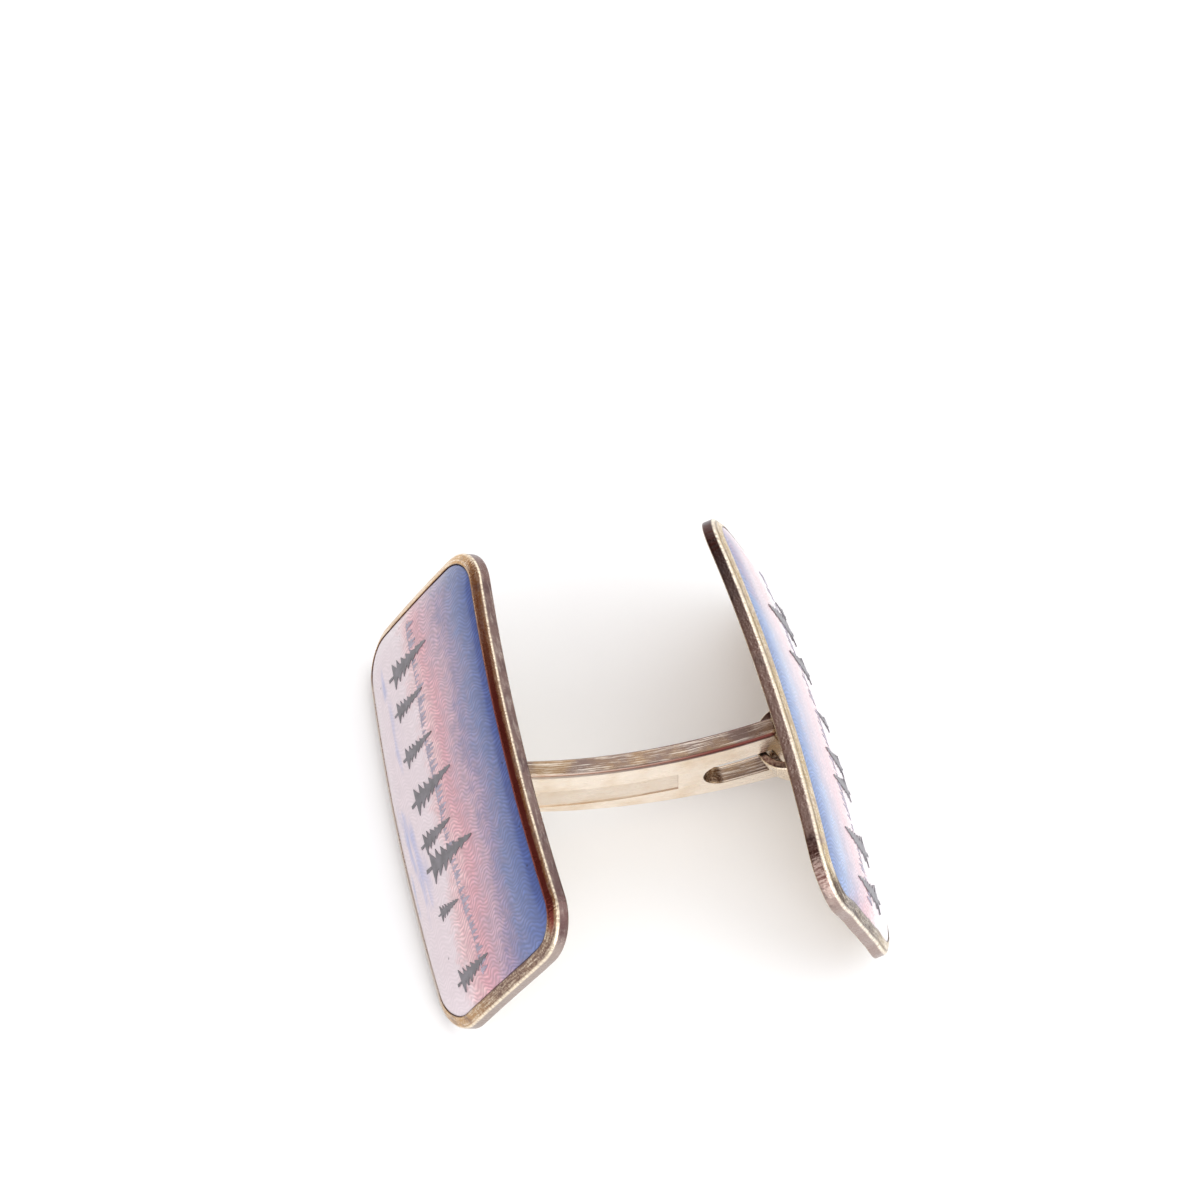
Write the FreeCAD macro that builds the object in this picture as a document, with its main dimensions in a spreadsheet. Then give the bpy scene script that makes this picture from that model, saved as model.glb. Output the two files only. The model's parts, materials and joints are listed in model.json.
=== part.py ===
"""Double-faced cufflink: two struck silver plates with enamel fields, joined by a bent bar.

The front plate is soldered to one end of the bar. The toggle plate carries a staple that runs through
a slot in the other end, so that it turns about the bar's end bridge and passes a buttonhole.

Frame: +X runs from the front plate to the toggle plate, +Y along the plates' long sides, +Z up.
The cufflink stands on the plates' lower long edges at Z = 0.
"""
import FreeCAD, Part
import math
import os

Vector = FreeCAD.Vector
Rotation = FreeCAD.Rotation
Placement = FreeCAD.Placement

doc = FreeCAD.newDocument("cufflink")
sheet = doc.addObject("Spreadsheet::Sheet", "sizes")

# Lengths in millimetres, angles in degrees.
DRIVING_SIZES = {
    # plates: outline, spherical crown and edge
    "plate_length": 20.0,
    "plate_width": 10.4,
    "corner_radius": 2.2,
    "crown_radius": 95.0,
    "edge_wall": 0.56,
    "rim_width": 0.52,
    "rim_bevel": 0.42,
    "rim_rise": 0.22,
    "floor_wall": 0.42,
    "plate_edge_round": 0.09,
    # enamel: height above the rim and the rounding of its border
    "enamel_proud": 0.17,
    "enamel_edge_round": 0.26,
    # bar: bend of its middle line, section, lean of the plates at its ends
    "bar_bend_radius": 18.2,
    "lean_angle": 25.3,
    "topside_depth": 1.98,
    "underside_depth": 2.04,
    "underside_shift": 1.9,
    "bar_thickness": 0.84,
    "bar_edge_round": 0.15,
    "bar_tip_round": 0.36,
    # slot for the staple, measured from the hinge axis towards the front plate
    "slot_length": 3.6,
    "slot_height": 2.0,
    "slot_drop": 0.56,
    "bridge_length": 0.6,
    "bridge_round": 0.2,
    "bar_overrun": 0.24,
    # sunk panel on the near side of the bar
    "panel_length": 6.6,
    "panel_height": 1.5,
    "panel_drop": 0.3,
    "panel_depth": 0.05,
    "panel_gap": 1.1,
    # staple on the toggle plate
    "staple_leg": 0.5,
    "staple_bow_radius": 1.2,
    "staple_thickness": 0.4,
    "staple_edge_round": 0.1,
    "staple_play": 0.06,
    "staple_side_play": 0.2,
    # solder seams
    "solder_leg": 0.34,
    "solder_lip": 0.05,
    # how far the toggle stands turned about its hinge
    "toggle_turn_angle": 2.6,
    # overrun of every cutting tool
    "cut_over": 1.0,
}

for row, (alias, value) in enumerate(DRIVING_SIZES.items(), start=1):
    sheet.set("A%d" % row, alias)
    sheet.set("B%d" % row, str(value))
    sheet.setAlias("B%d" % row, alias)
doc.recompute()


def size(alias):
    """Value of one driving size."""
    return float(sheet.get(alias))


def bind(obj, **formulas):
    """Ties properties of an object to the sheet."""
    for name, formula in formulas.items():
        obj.setExpression(name, formula)
    return obj


def cell(alias):
    """Name of a sheet value inside a formula."""
    return "sizes." + alias


def box(name, length, width, height, placement):
    """Box whose three sides follow formulas; the placement is its lowest corner."""
    obj = doc.addObject("Part::Box", name)
    bind(obj, Length=length, Width=width, Height=height)
    obj.Placement = placement
    return obj


def cylinder(name, radius, height, placement, angle=None):
    """Cylinder or sector of one, along its own +Z."""
    obj = doc.addObject("Part::Cylinder", name)
    bind(obj, Radius=radius, Height=height)
    if angle is not None:
        bind(obj, Angle=angle)
    obj.Placement = placement
    return obj


def sphere(name, radius, centre):
    """Ball with its seam turned away from the plate that it shapes."""
    obj = doc.addObject("Part::Sphere", name)
    bind(obj, Radius=radius)
    obj.Placement = Placement(centre, Rotation(Vector(0, 0, 1), 180))
    return obj


def cut(name, base, tool):
    """Base less tool."""
    obj = doc.addObject("Part::Cut", name)
    obj.Base = base
    obj.Tool = tool
    return obj


def common(name, first, second):
    """What two objects share."""
    obj = doc.addObject("Part::Common", name)
    obj.Base = first
    obj.Tool = second
    return obj


def fuse(name, first, second):
    """Two objects joined into one solid, without seams between flush faces."""
    obj = doc.addObject("Part::Fuse", name)
    obj.Base = first
    obj.Tool = second
    obj.Refine = True
    return obj


def rounded(name, base, radius, wanted):
    """Rounds every edge of the base that the test wants."""
    doc.recompute()
    obj = doc.addObject("Part::Fillet", name)
    obj.Base = base
    edges = [i for i, edge in enumerate(base.Shape.Edges, start=1) if wanted(edge)]
    obj.Edges = [(i, radius, radius) for i in edges]
    return obj


def bevelled(name, base, along, down, wanted):
    """Bevels every edge of the base that the test wants."""
    doc.recompute()
    obj = doc.addObject("Part::Chamfer", name)
    obj.Base = base
    edges = [i for i, edge in enumerate(base.Shape.Edges, start=1) if wanted(edge)]
    obj.Edges = [(i, along, down) for i in edges]
    return obj


def edge_points(edge):
    """Five points along an edge."""
    first, last = edge.ParameterRange
    shares = (0.0, 0.25, 0.5, 0.75, 1.0)
    return [edge.valueAt(first + (last - first) * share) for share in shares]


def runs_along(edge, direction):
    """True for a straight edge along a direction."""
    if edge.Curve.TypeId != "Part::GeomLine":
        return False
    return abs(edge.tangentAt(edge.FirstParameter).dot(direction)) > 1 - 1e-6


def on_ball(edge, centre, radius):
    """True for an edge that lies on a ball's surface."""
    return all(abs((p - centre).Length - radius) < 1e-4 * radius for p in edge_points(edge))


def ends_wall(edge):
    """True for an edge where a plate's wall meets the bevel of its rim."""
    wall_radius = size("crown_radius") + size("edge_wall")
    slack = size("rim_rise") / 10
    return all(abs((p - ball_centre).Length - wall_radius) < slack for p in edge_points(edge))


# Derived places shared by the pieces.
lean = math.radians(size("lean_angle"))
span = 2 * size("bar_bend_radius") * math.sin(lean)
half_thickness = size("bar_thickness") / 2
# The staple's bow hangs on the bridge that closes the slot, and turns about the bridge's middle.
bridge_radius = math.hypot(half_thickness, size("bridge_length") / 2)
hinge_reach = size("staple_leg") + size("staple_bow_radius") - bridge_radius - size("staple_play")
front_offset = size("edge_wall") + size("rim_rise")
crown_sag = size("crown_radius") - math.sqrt(
    size("crown_radius") ** 2 - size("plate_length") ** 2 / 4 - size("plate_width") ** 2 / 4
)
ball_centre = Vector(-size("crown_radius"), 0, 0)


def outline_prism(name, inset):
    """Prism with the plate's rounded outline, drawn in by an inset given as a formula."""
    start = -(crown_sag + size("cut_over"))
    inset_value = 0 if inset is None else size(inset)
    less = "" if inset is None else " - 2 * " + cell(inset)
    corner = Vector(start, inset_value - size("plate_length") / 2, inset_value - size("plate_width") / 2)
    depth = crown_sag + front_offset + size("enamel_proud") + 2 * size("cut_over")
    blank = box(
        name + "_blank",
        str(depth),
        cell("plate_length") + less,
        cell("plate_width") + less,
        Placement(corner, Rotation()),
    )
    return rounded(
        name,
        blank,
        size("corner_radius") - inset_value,
        lambda edge: runs_along(edge, Vector(1, 0, 0)),
    )


def build_plate(name):
    """One struck plate with its recess, and the enamel that fills it, in the plate's own frame.

    The origin is the middle of the plate's back, +X points out through the enamel.
    """
    crown = cell("crown_radius")
    front = crown + " + " + cell("edge_wall") + " + " + cell("rim_rise")
    back_ball = sphere(name + "_back_ball", crown, ball_centre)
    front_ball = sphere(name + "_front_ball", front, ball_centre)
    floor_ball = sphere(name + "_floor_ball", crown + " + " + cell("floor_wall"), ball_centre)
    glass_ball = sphere(name + "_glass_ball", front + " + " + cell("enamel_proud"), ball_centre)
    outer = outline_prism(name + "_outline", None)
    inner = outline_prism(name + "_field", "rim_width")
    capped = common(name + "_capped", outer, front_ball)
    shell = cut(name + "_shell", capped, back_ball)
    front_radius = size("crown_radius") + front_offset
    sloped = bevelled(
        name + "_sloped",
        shell,
        size("rim_rise"),
        size("rim_bevel"),
        lambda edge: on_ball(edge, ball_centre, front_radius),
    )
    eased = rounded(
        name + "_eased",
        sloped,
        size("plate_edge_round"),
        lambda edge: on_ball(edge, ball_centre, size("crown_radius")) or ends_wall(edge),
    )
    filling = cut(name + "_filling", inner, floor_ball)
    plate = cut(name + "_plate", eased, filling)
    plate.Label = name + "_plate"
    slab = common(name + "_slab", filling, glass_ball)
    glass_radius = front_radius + size("enamel_proud")
    enamel = rounded(
        name + "_enamel",
        slab,
        size("enamel_edge_round"),
        lambda edge: on_ball(edge, ball_centre, glass_radius),
    )
    enamel.Label = name + "_enamel"
    return plate, enamel


front_plate, front_enamel = build_plate("front")
toggle_plate, toggle_enamel = build_plate("toggle")
doc.recompute()

# Both plates lean with their tops inwards. The lowest edge of either stands on Z = 0, which sets the
# height of the bar's ends.
front_turn = Rotation(Vector(0, 1, 0), size("lean_angle")).multiply(Rotation(Vector(0, 0, 1), 180))
toggle_lean = Rotation(Vector(0, 1, 0), -size("lean_angle"))
hinge_place = Vector(-hinge_reach, 0, 0)
turn = Placement(Vector(0, 0, 0), Rotation(Vector(0, 0, 1), size("toggle_turn_angle")), hinge_place)


def lowest(piece, place):
    """Lowest level of a piece at a place."""
    copy = piece.Shape.copy()
    copy.Placement = place
    return copy.optimalBoundingBox(False, False).ZMin


end_height = -min(
    lowest(front_plate, Placement(Vector(0, 0, 0), front_turn)),
    lowest(toggle_plate, Placement(Vector(0, 0, 0), toggle_lean).multiply(turn)),
)
arc_height = end_height + size("bar_bend_radius") * math.cos(lean)
arc_centre = Vector(0, 0, arc_height)

# Plate frames: the front plate faces -X, the toggle plate faces +X.
front_frame = Placement(Vector(-span / 2, 0, end_height), front_turn)
toggle_square = Placement(Vector(span / 2, 0, end_height), toggle_lean)
toggle_frame = toggle_square.multiply(turn)


def arc_rotation(angle):
    """Turns a cylinder so that its axis lies along -Y and its sector starts at an angle of the bend.

    Angles are counted from straight below the bend's centre, positive towards the toggle plate.
    """
    outwards = Vector(math.sin(angle), 0, -math.cos(angle))
    onwards = Vector(math.cos(angle), 0, math.sin(angle))
    return Rotation(outwards, onwards, Vector(0, -1, 0), "XYZ")


def arc_sector(name, inner, outer, first, sweep, near, far, shift=0):
    """Piece of a flat ring about the bend's centre; inner and outer are formulas, angles in radians.

    The outer rim may be shifted along X, which makes the piece wider towards one end.
    """
    depth = str(far - near)
    back = arc_centre + Vector(0, far, 0)
    wheel_place = Placement(back + Vector(shift, 0, 0), arc_rotation(first))
    wheel = cylinder(name + "_wheel", outer, depth, wheel_place, str(math.degrees(sweep)))
    hub = cylinder(name + "_hub", inner, depth, Placement(back, arc_rotation(first)))
    return cut(name, wheel, hub)


def arc_point(angle, radius):
    """Point of the bend's plane."""
    return arc_centre + Vector(radius * math.sin(angle), 0, -radius * math.cos(angle))


# Angles along the bend. The hinge axis stands square to the bar's end at its reach from the toggle.
bend = size("bar_bend_radius")
over = size("cut_over")
hinge_angle = lean - hinge_reach / bend
bar_end_reach = hinge_reach - size("bridge_length") / 2 - size("bar_overrun")
slot_end_reach = hinge_reach + size("bridge_length") / 2
slot_left_angle = hinge_angle - (size("slot_length") - size("slot_height") / 2) / bend
slot_radius = bend + size("slot_drop")
panel_right_angle = hinge_angle - (size("slot_length") + size("panel_gap")) / bend
panel_sweep = size("panel_length") / bend
middle = cell("bar_bend_radius")

bar_start_angle = -lean - (crown_sag + over) / bend
bar_strip = arc_sector(
    "bar_strip",
    middle + " - " + cell("topside_depth"),
    middle + " + " + cell("underside_depth"),
    2 * bar_start_angle,
    -4 * bar_start_angle,
    -half_thickness,
    half_thickness,
    size("underside_shift"),
)


def toggle_block(name, reach):
    """Block that ends square to the toggle at a reach from its back and takes in the rest of the bar."""
    corner = Vector(-reach - 2 * span, -bend, -bend)
    place = toggle_square.multiply(Placement(corner, Rotation()))
    return box(name, str(2 * span), "2 * " + middle, "2 * " + middle, place)


# The slot ends half a bridge before the hinge axis, the bar half a bridge and its overrun past it.
end_block = toggle_block("end_block", bar_end_reach)
bar_blank = common("bar_blank", bar_strip, end_block)


def on_bar_rim(edge):
    """True for the four long edges of the bar."""
    points = edge_points(edge)
    if not all(abs(abs(p.y) - half_thickness) < half_thickness * 1e-4 for p in points):
        return False
    rims = (
        (bend - size("topside_depth"), arc_centre),
        (bend + size("underside_depth"), arc_centre + Vector(size("underside_shift"), 0, 0)),
    )
    for radius, centre in rims:
        if all(abs((p - centre - Vector(0, p.y, 0)).Length - radius) < radius * 1e-6 for p in points):
            return True
    return False


def across_bar(reach):
    """Test for the two edges across the bar at a reach from the toggle's back."""
    across = toggle_square.Rotation.multVec(Vector(0, 0, 1))

    def wanted(edge):
        if not runs_along(edge, across):
            return False
        points = [toggle_square.inverse().multVec(p) for p in edge_points(edge)]
        level = all(abs(p.x + reach) < half_thickness * 1e-3 for p in points)
        return level and all(abs(abs(p.y) - half_thickness) < half_thickness * 1e-3 for p in points)

    return wanted


bar_tipped = rounded("bar_tipped", bar_blank, size("bar_tip_round"), across_bar(bar_end_reach))
bar_eased = rounded("bar_eased", bar_tipped, size("bar_edge_round"), on_bar_rim)

# The foot of the bar is fitted to the crown of the front plate's back.
foot_ball = sphere("foot_ball", cell("crown_radius"), front_frame.multVec(ball_centre))
bar_fitted = common("bar_fitted", bar_eased, foot_ball)

# Slot cut through the bar from side to side, round at its inner end, square at the bridge.
slot_middle = middle + " + " + cell("slot_drop")
slot_run = arc_sector(
    "slot_run",
    slot_middle + " - " + cell("slot_height") + " / 2",
    slot_middle + " + " + cell("slot_height") + " / 2",
    slot_left_angle,
    hinge_angle - slot_left_angle,
    -half_thickness - over,
    half_thickness + over,
)
through = cell("bar_thickness") + " + 2 * " + cell("cut_over")


def slot_end(name, angle):
    """Round end of the slot."""
    start = arc_point(angle, slot_radius) + Vector(0, half_thickness + over, 0)
    return cylinder(name, cell("slot_height") + " / 2", through, Placement(start, arc_rotation(angle)))


slot_long = fuse("slot_long", slot_run, slot_end("slot_left_end", slot_left_angle))
slot = common("slot", slot_long, toggle_block("slot_block", slot_end_reach))
bar_cut = cut("bar_cut", bar_fitted, slot)
bar_slotted = rounded("bar_slotted", bar_cut, size("bridge_round"), across_bar(slot_end_reach))

# Shallow sunk panel on the near side.
panel_middle = middle + " + " + cell("panel_drop")
panel = arc_sector(
    "panel",
    panel_middle + " - " + cell("panel_height") + " / 2",
    panel_middle + " + " + cell("panel_height") + " / 2",
    panel_right_angle - panel_sweep,
    panel_sweep,
    -half_thickness - over,
    -half_thickness + size("panel_depth"),
)
bridge_bar = cut("bridge_bar", bar_slotted, panel)
bridge_bar.Label = "bridge_bar"

# Staple of the toggle: a bowed strip in the slot, its two legs on the plate's back.
staple_inner = size("staple_bow_radius")
staple_outer = staple_inner + size("staple_thickness")
staple_reach = size("staple_leg") + staple_outer
staple_tall = size("slot_height") - 2 * size("staple_side_play")
# The bar bends away from the line square to the plate; the staple sits in the slot's middle at its own tip.
slot_rise = staple_reach ** 2 / (2 * bend)
staple_middle = slot_rise - size("slot_drop")
staple_low = staple_middle - staple_tall / 2
staple_height = cell("slot_height") + " - 2 * " + cell("staple_side_play")
inner_formula = cell("staple_bow_radius")
outer_formula = inner_formula + " + " + cell("staple_thickness")
leg_length = cell("staple_leg") + " + " + cell("cut_over")


def bow(name, radius, reach):
    """Round bow with straight sides up to the plate."""
    foot = Vector(-size("staple_leg"), 0, staple_low)
    half_turn = Placement(foot, Rotation(Vector(0, 0, 1), 90))
    bend_part = cylinder(name + "_bend", radius, staple_height, half_turn, "180")
    corner = foot - Vector(0, reach, 0)
    width = "2 * (" + radius + ")"
    sides = box(name + "_sides", leg_length, width, staple_height, Placement(corner, Rotation()))
    return fuse(name, bend_part, sides)


staple_blank = cut(
    "staple_blank",
    bow("staple_outside", outer_formula, staple_outer),
    bow("staple_inside", inner_formula, staple_inner),
)


def on_staple_face(edge):
    """True for the long edges of the staple's strip."""
    if runs_along(edge, Vector(0, 1, 0)):
        return False
    points = edge_points(edge)
    levels = (staple_low, staple_low + staple_tall)
    return any(all(abs(p.z - level) < staple_tall * 1e-4 for p in points) for level in levels)


staple_eased = rounded("staple_eased", staple_blank, size("staple_edge_round"), on_staple_face)
# The legs are fitted to the crown of the toggle plate's back.
seat_ball = sphere("seat_ball", cell("crown_radius"), ball_centre)
toggle_staple = common("toggle_staple", staple_eased, seat_ball)
toggle_staple.Label = "toggle_staple"


def solder_seam(name, half_y, half_z, middle_y, middle_z, ball):
    """Sloped seam around the end of a bar or leg that stands on a plate's back, in the plate's frame."""
    leg = size("solder_leg")
    corner = Vector(-leg, middle_y - half_y - leg, middle_z - half_z - leg)
    depth = cell("solder_leg") + " + " + cell("cut_over")
    blank = box(
        name + "_blank",
        depth,
        str(2 * (half_y + leg)),
        str(2 * (half_z + leg)),
        Placement(corner, Rotation()),
    )
    slope = leg - size("solder_lip")

    def top_edge(edge):
        return all(abs(p.x + leg) < leg * 1e-4 for p in edge_points(edge))

    sloped = bevelled(name + "_sloped", blank, slope, slope, top_edge)
    return common(name + "_seated", sloped, ball)


# Depth of the bar under its middle line where it meets the front plate.
foot_depth = size("underside_depth") - size("underside_shift") * math.sin(lean)
foot_ball_own = sphere("foot_ball_own", cell("crown_radius"), ball_centre)
foot_half = (size("topside_depth") + foot_depth) / 2
foot_middle = (size("topside_depth") - foot_depth) / 2
bar_seam = solder_seam("bar_seam", half_thickness, foot_half, 0, foot_middle, foot_ball_own)
bar_seam.Placement = front_frame
bar_solder = cut("bar_solder", bar_seam, bar_eased)
bar_solder.Label = "bar_solder"

leg_middle = (staple_inner + staple_outer) / 2
near_ball = sphere("near_ball", cell("crown_radius"), ball_centre)
far_ball = sphere("far_ball", cell("crown_radius"), ball_centre)
half_leg = size("staple_thickness") / 2
near_seam = solder_seam("near_seam", half_leg, staple_tall / 2, -leg_middle, staple_middle, near_ball)
far_seam = solder_seam("far_seam", half_leg, staple_tall / 2, leg_middle, staple_middle, far_ball)
staple_solder_near = cut("staple_solder_near", near_seam, staple_eased)
staple_solder_near.Label = "staple_solder_near"
staple_solder_far = cut("staple_solder_far", far_seam, staple_eased)
staple_solder_far.Label = "staple_solder_far"
doc.recompute()

# Pieces drawn in a plate's frame take their place in the cufflink.
for piece in (front_plate, front_enamel):
    piece.Placement = front_frame
for piece in (toggle_plate, toggle_enamel, toggle_staple, staple_solder_near, staple_solder_far):
    piece.Placement = toggle_frame
doc.recompute()

PIECES = (
    front_plate,
    front_enamel,
    bridge_bar,
    bar_solder,
    toggle_plate,
    toggle_enamel,
    toggle_staple,
    staple_solder_near,
    staple_solder_far,
)

for obj in doc.Objects:
    if "Invalid" in obj.State or "Error" in obj.State:
        raise RuntimeError("%s did not compute: %s" % (obj.Name, obj.State))
for piece in PIECES:
    if piece.Shape.isNull() or not piece.Shape.isValid():
        raise RuntimeError(piece.Label + " has no valid shape")
    if len(piece.Shape.Solids) != 1:
        raise RuntimeError("%s has %d solids" % (piece.Label, len(piece.Shape.Solids)))

os.makedirs("parts", exist_ok=True)
for piece in PIECES:
    piece.Shape.exportStep(os.path.join("parts", piece.Label + ".step"))
    bounds = piece.Shape.BoundBox
    spans = (bounds.XMin, bounds.XMax, bounds.YMin, bounds.YMax, bounds.ZMin, bounds.ZMax)
    print("%-20s %9.3f mm3 " % (piece.Label, piece.Shape.Volume), " ".join("%8.3f" % v for v in spans))
hinge = toggle_square.multVec(hinge_place)
axis = toggle_square.Rotation.multVec(Vector(0, 0, 1))
print("hinge at %.4f %.4f %.4f along %.5f %.5f %.5f" % (*hinge, *axis))
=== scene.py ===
"""Dresses a double-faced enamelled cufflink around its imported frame.

The two struck plates, their enamel fields and the three solder seams are rebuilt as fine meshes on the
frame's places. The bar and the staple keep the frame's solids. Two rows of painted firs are added on each
field, and every surface gets a finish of its own. Sizes are in millimetres; meshes are in metres, in the
frame's own axes.
"""

import json
import logging
import math
from dataclasses import dataclass
from enum import Enum
from typing import Any

import bmesh
import bpy
import numpy as np
from mathutils import Matrix, Vector

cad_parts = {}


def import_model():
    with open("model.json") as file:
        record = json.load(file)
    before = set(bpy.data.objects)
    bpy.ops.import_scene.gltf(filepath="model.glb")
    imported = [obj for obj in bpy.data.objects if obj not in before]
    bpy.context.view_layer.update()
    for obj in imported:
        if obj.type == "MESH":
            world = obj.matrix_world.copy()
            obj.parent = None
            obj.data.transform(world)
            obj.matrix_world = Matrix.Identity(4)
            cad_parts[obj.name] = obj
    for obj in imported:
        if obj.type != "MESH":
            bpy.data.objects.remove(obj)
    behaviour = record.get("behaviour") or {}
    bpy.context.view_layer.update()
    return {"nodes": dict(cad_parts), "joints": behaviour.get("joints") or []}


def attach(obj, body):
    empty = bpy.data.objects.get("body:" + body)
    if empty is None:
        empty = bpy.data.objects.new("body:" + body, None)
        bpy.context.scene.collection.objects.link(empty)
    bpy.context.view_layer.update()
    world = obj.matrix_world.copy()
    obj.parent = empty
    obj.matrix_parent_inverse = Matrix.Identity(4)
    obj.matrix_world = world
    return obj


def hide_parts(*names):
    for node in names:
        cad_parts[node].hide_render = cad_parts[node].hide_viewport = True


Tree = bpy.types.NodeTree
Socket = bpy.types.NodeSocket
Material = bpy.types.Material
Mesh = bpy.types.Mesh
Piece = bpy.types.Object
Zone = tuple[float, float]
Ramp = tuple[float, ...]
Triple = tuple[float, float, float]
Profile = list[Triple]
Faces = list[tuple[int, ...]]

LOG = logging.getLogger("cufflink")
MM = 0.001
IMAGE_SIDE_PX = 1200

# Attributes that keep a point's place on its plate, and its way along, height over and inset from the edge.
PLATE_PLACE = "plate_mm"
EDGE_PLACE = "edge_mm"
# Values that several finishes share. A finish's ramps say at which levels of a pattern a change starts and
# stops and, where these are not 0 and 1, what it goes from and to.
IN_MM = (1 / MM,) * 3
GLASS_IOR = 1.5
# Sizes of the plates that finishes and pieces on them share.
PLATE_LENGTH = 20.0
PLATE_WIDTH = 10.4
CROWN = 95.0
EDGE_WALL = 0.56
RIM_WIDTH = 0.52
RIM_BEVEL = 0.42
RIM_TOP = EDGE_WALL + 0.22
GLASS_TOP = RIM_TOP + 0.17


class Side(Enum):
    """Which of the two plates a piece belongs to."""

    FRONT = "front"
    TOGGLE = "toggle"


# Waves round a closed line that add up to the unevenness of hand work.
HAND_WAVES = (2, 3, 5, 8, 13, 21)
PLATE_SEEDS = {Side.FRONT: 4, Side.TOGGLE: 11}
FIR_SEEDS = {Side.FRONT: 3, Side.TOGGLE: 8}
# Dents of the plates' edges: place along the edge from the middle of the +Y end, reach and depth.
DENTS = {
    Side.FRONT: ((52.5, 0.8, 0.05), (3.1, 0.5, 0.04)),
    Side.TOGGLE: ((26.6, 0.75, 0.12), (28.7, 0.35, 0.05), (30.4, 0.5, 0.09)),
}


def linear(colour: str) -> tuple[float, float, float, float]:
    """Turns an sRGB hex colour to linear light.

    Args:
        colour: Six hex digits after a hash sign.

    Returns:
        Red, green and blue in linear light, and full alpha.
    """
    parts = [int(colour[i:i + 2], 16) / 255 for i in (1, 3, 5)]
    steps = [p / 12.92 if p <= 0.04045 else ((p + 0.055) / 1.055) ** 2.4 for p in parts]
    return steps[0], steps[1], steps[2], 1.0


def connect(tree: Tree, node: bpy.types.Node, inputs: dict[Any, Any]) -> None:
    """Fills a node's inputs with values and links.

    Args:
        tree: Tree that holds the node.
        node: Node whose inputs are filled.
        inputs: Values or other nodes' outputs, by the number of the socket or the name of one in use.
    """
    for key, value in inputs.items():
        named = (socket for socket in node.inputs if socket.enabled and socket.name == key)
        socket = node.inputs[key] if isinstance(key, int) else next(named)
        if isinstance(value, Socket):
            tree.links.new(value, socket)
        else:
            socket.default_value = value


def add(tree: Tree, kind: str, inputs: dict[Any, Any] | None = None, **settings: Any) -> Socket | None:
    """Adds a node with its settings and links.

    Args:
        tree: Shader or geometry tree that gets the node.
        kind: Blender's name of the node's class, for a shader node without the words ShaderNode.
        inputs: Values or other nodes' outputs by the name or number of the socket.
        settings: Attributes of the node; stops fills a colour ramp with places and hex colours.

    Returns:
        The first output in use, if the node has outputs. Its node attribute leads to the others.
    """
    whole = kind.startswith(("GeometryNode", "FunctionNode", "NodeGroup"))
    node = tree.nodes.new(kind if whole else "ShaderNode" + kind)
    stops = settings.pop("stops", ())
    for name, value in settings.items():
        setattr(node, name, value)
    if stops:
        elements = node.color_ramp.elements
        while len(elements) < len(stops):
            elements.new(0.5)
        for element, (place, colour) in zip(elements, stops):
            element.position = place
            element.color = linear(colour)
    connect(tree, node, inputs or {})
    return next((socket for socket in node.outputs if socket.enabled), None)


def per_mm(sizes: Triple) -> Triple:
    """Scale of a pattern from the sizes of its features."""
    return 1 / sizes[0], 1 / sizes[1], 1 / sizes[2]


def ramp(tree: Tree, value: Socket, low: float, high: float, start: Any = 0.0, stop: Any = 1.0,
         smooth: bool = False) -> Socket:
    """Turns a value to a ramp between two levels, flat beyond them.

    Args:
        tree: Tree that gets the node.
        value: Output that crosses the levels.
        low: Level at which the ramp starts.
        high: Level at which it stops.
        start: Result before the ramp.
        stop: Result after the ramp.
        smooth: Whether the ramp eases in and out.

    Returns:
        Output with the result.
    """
    ends = {"Value": value, "From Min": low, "From Max": high, "To Min": start, "To Max": stop}
    return add(tree, "MapRange", ends, interpolation_type="SMOOTHSTEP" if smooth else "LINEAR")


def calculate(tree: Tree, operation: str, *values: Any, clamped: bool = False) -> Socket:
    """Adds one step of arithmetic.

    Args:
        tree: Tree that gets the node.
        operation: Blender's name of the operation.
        values: Numbers or other nodes' outputs, in order.
        clamped: Whether the result is held between 0 and 1.

    Returns:
        Output with the result.
    """
    return add(tree, "Math", dict(enumerate(values)), operation=operation, use_clamp=clamped)


def noise(tree: Tree, place: Socket, size: float, detail: float, roughness: float = 0.5,
          layer: Any = None) -> Socket:
    """Adds a cloudy pattern.

    Args:
        tree: Tree that gets the node.
        place: Coordinates of the pattern.
        size: Size of its clouds, in the unit of the coordinates.
        detail: Number of finer patterns on it.
        roughness: Strength of the finer patterns.
        layer: Place in a fourth dimension, for a pattern that differs from piece to piece.

    Returns:
        Output with the strength of the pattern.
    """
    inputs = {"Vector": place, "Scale": 1 / size, "Detail": detail, "Roughness": roughness}
    if layer is None:
        return add(tree, "TexNoise", inputs)
    return add(tree, "TexNoise", {**inputs, "W": layer}, noise_dimensions="4D")


def layered(tree: Tree, base: Any, *layers: tuple[Any, ...]) -> Socket:
    """Lays tones over a base, each where all its masks meet.

    Args:
        tree: Tree of the material.
        base: Hex colour or output underneath.
        layers: For each layer its tone, as a hex colour or an output, and then its masks.

    Returns:
        Output with the colour of the whole stack.
    """
    colour = linear(base) if isinstance(base, str) else base
    for tone, share, *others in layers:
        for mask in others:
            share = calculate(tree, "MULTIPLY", share, mask)
        over = linear(tone) if isinstance(tone, str) else tone
        colour = add(tree, "Mix", {"Factor": share, "A": colour, "B": over}, data_type="RGBA")
    return colour


def new_material(name: str) -> tuple[Material, Tree, bpy.types.Node]:
    """Starts a material with one principled shader.

    Args:
        name: What the real material is.

    Returns:
        The material, its tree and its shader node.
    """
    material = bpy.data.materials.new(name)
    material.use_nodes = True
    tree = material.node_tree
    return material, tree, tree.nodes["Principled BSDF"]


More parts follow.
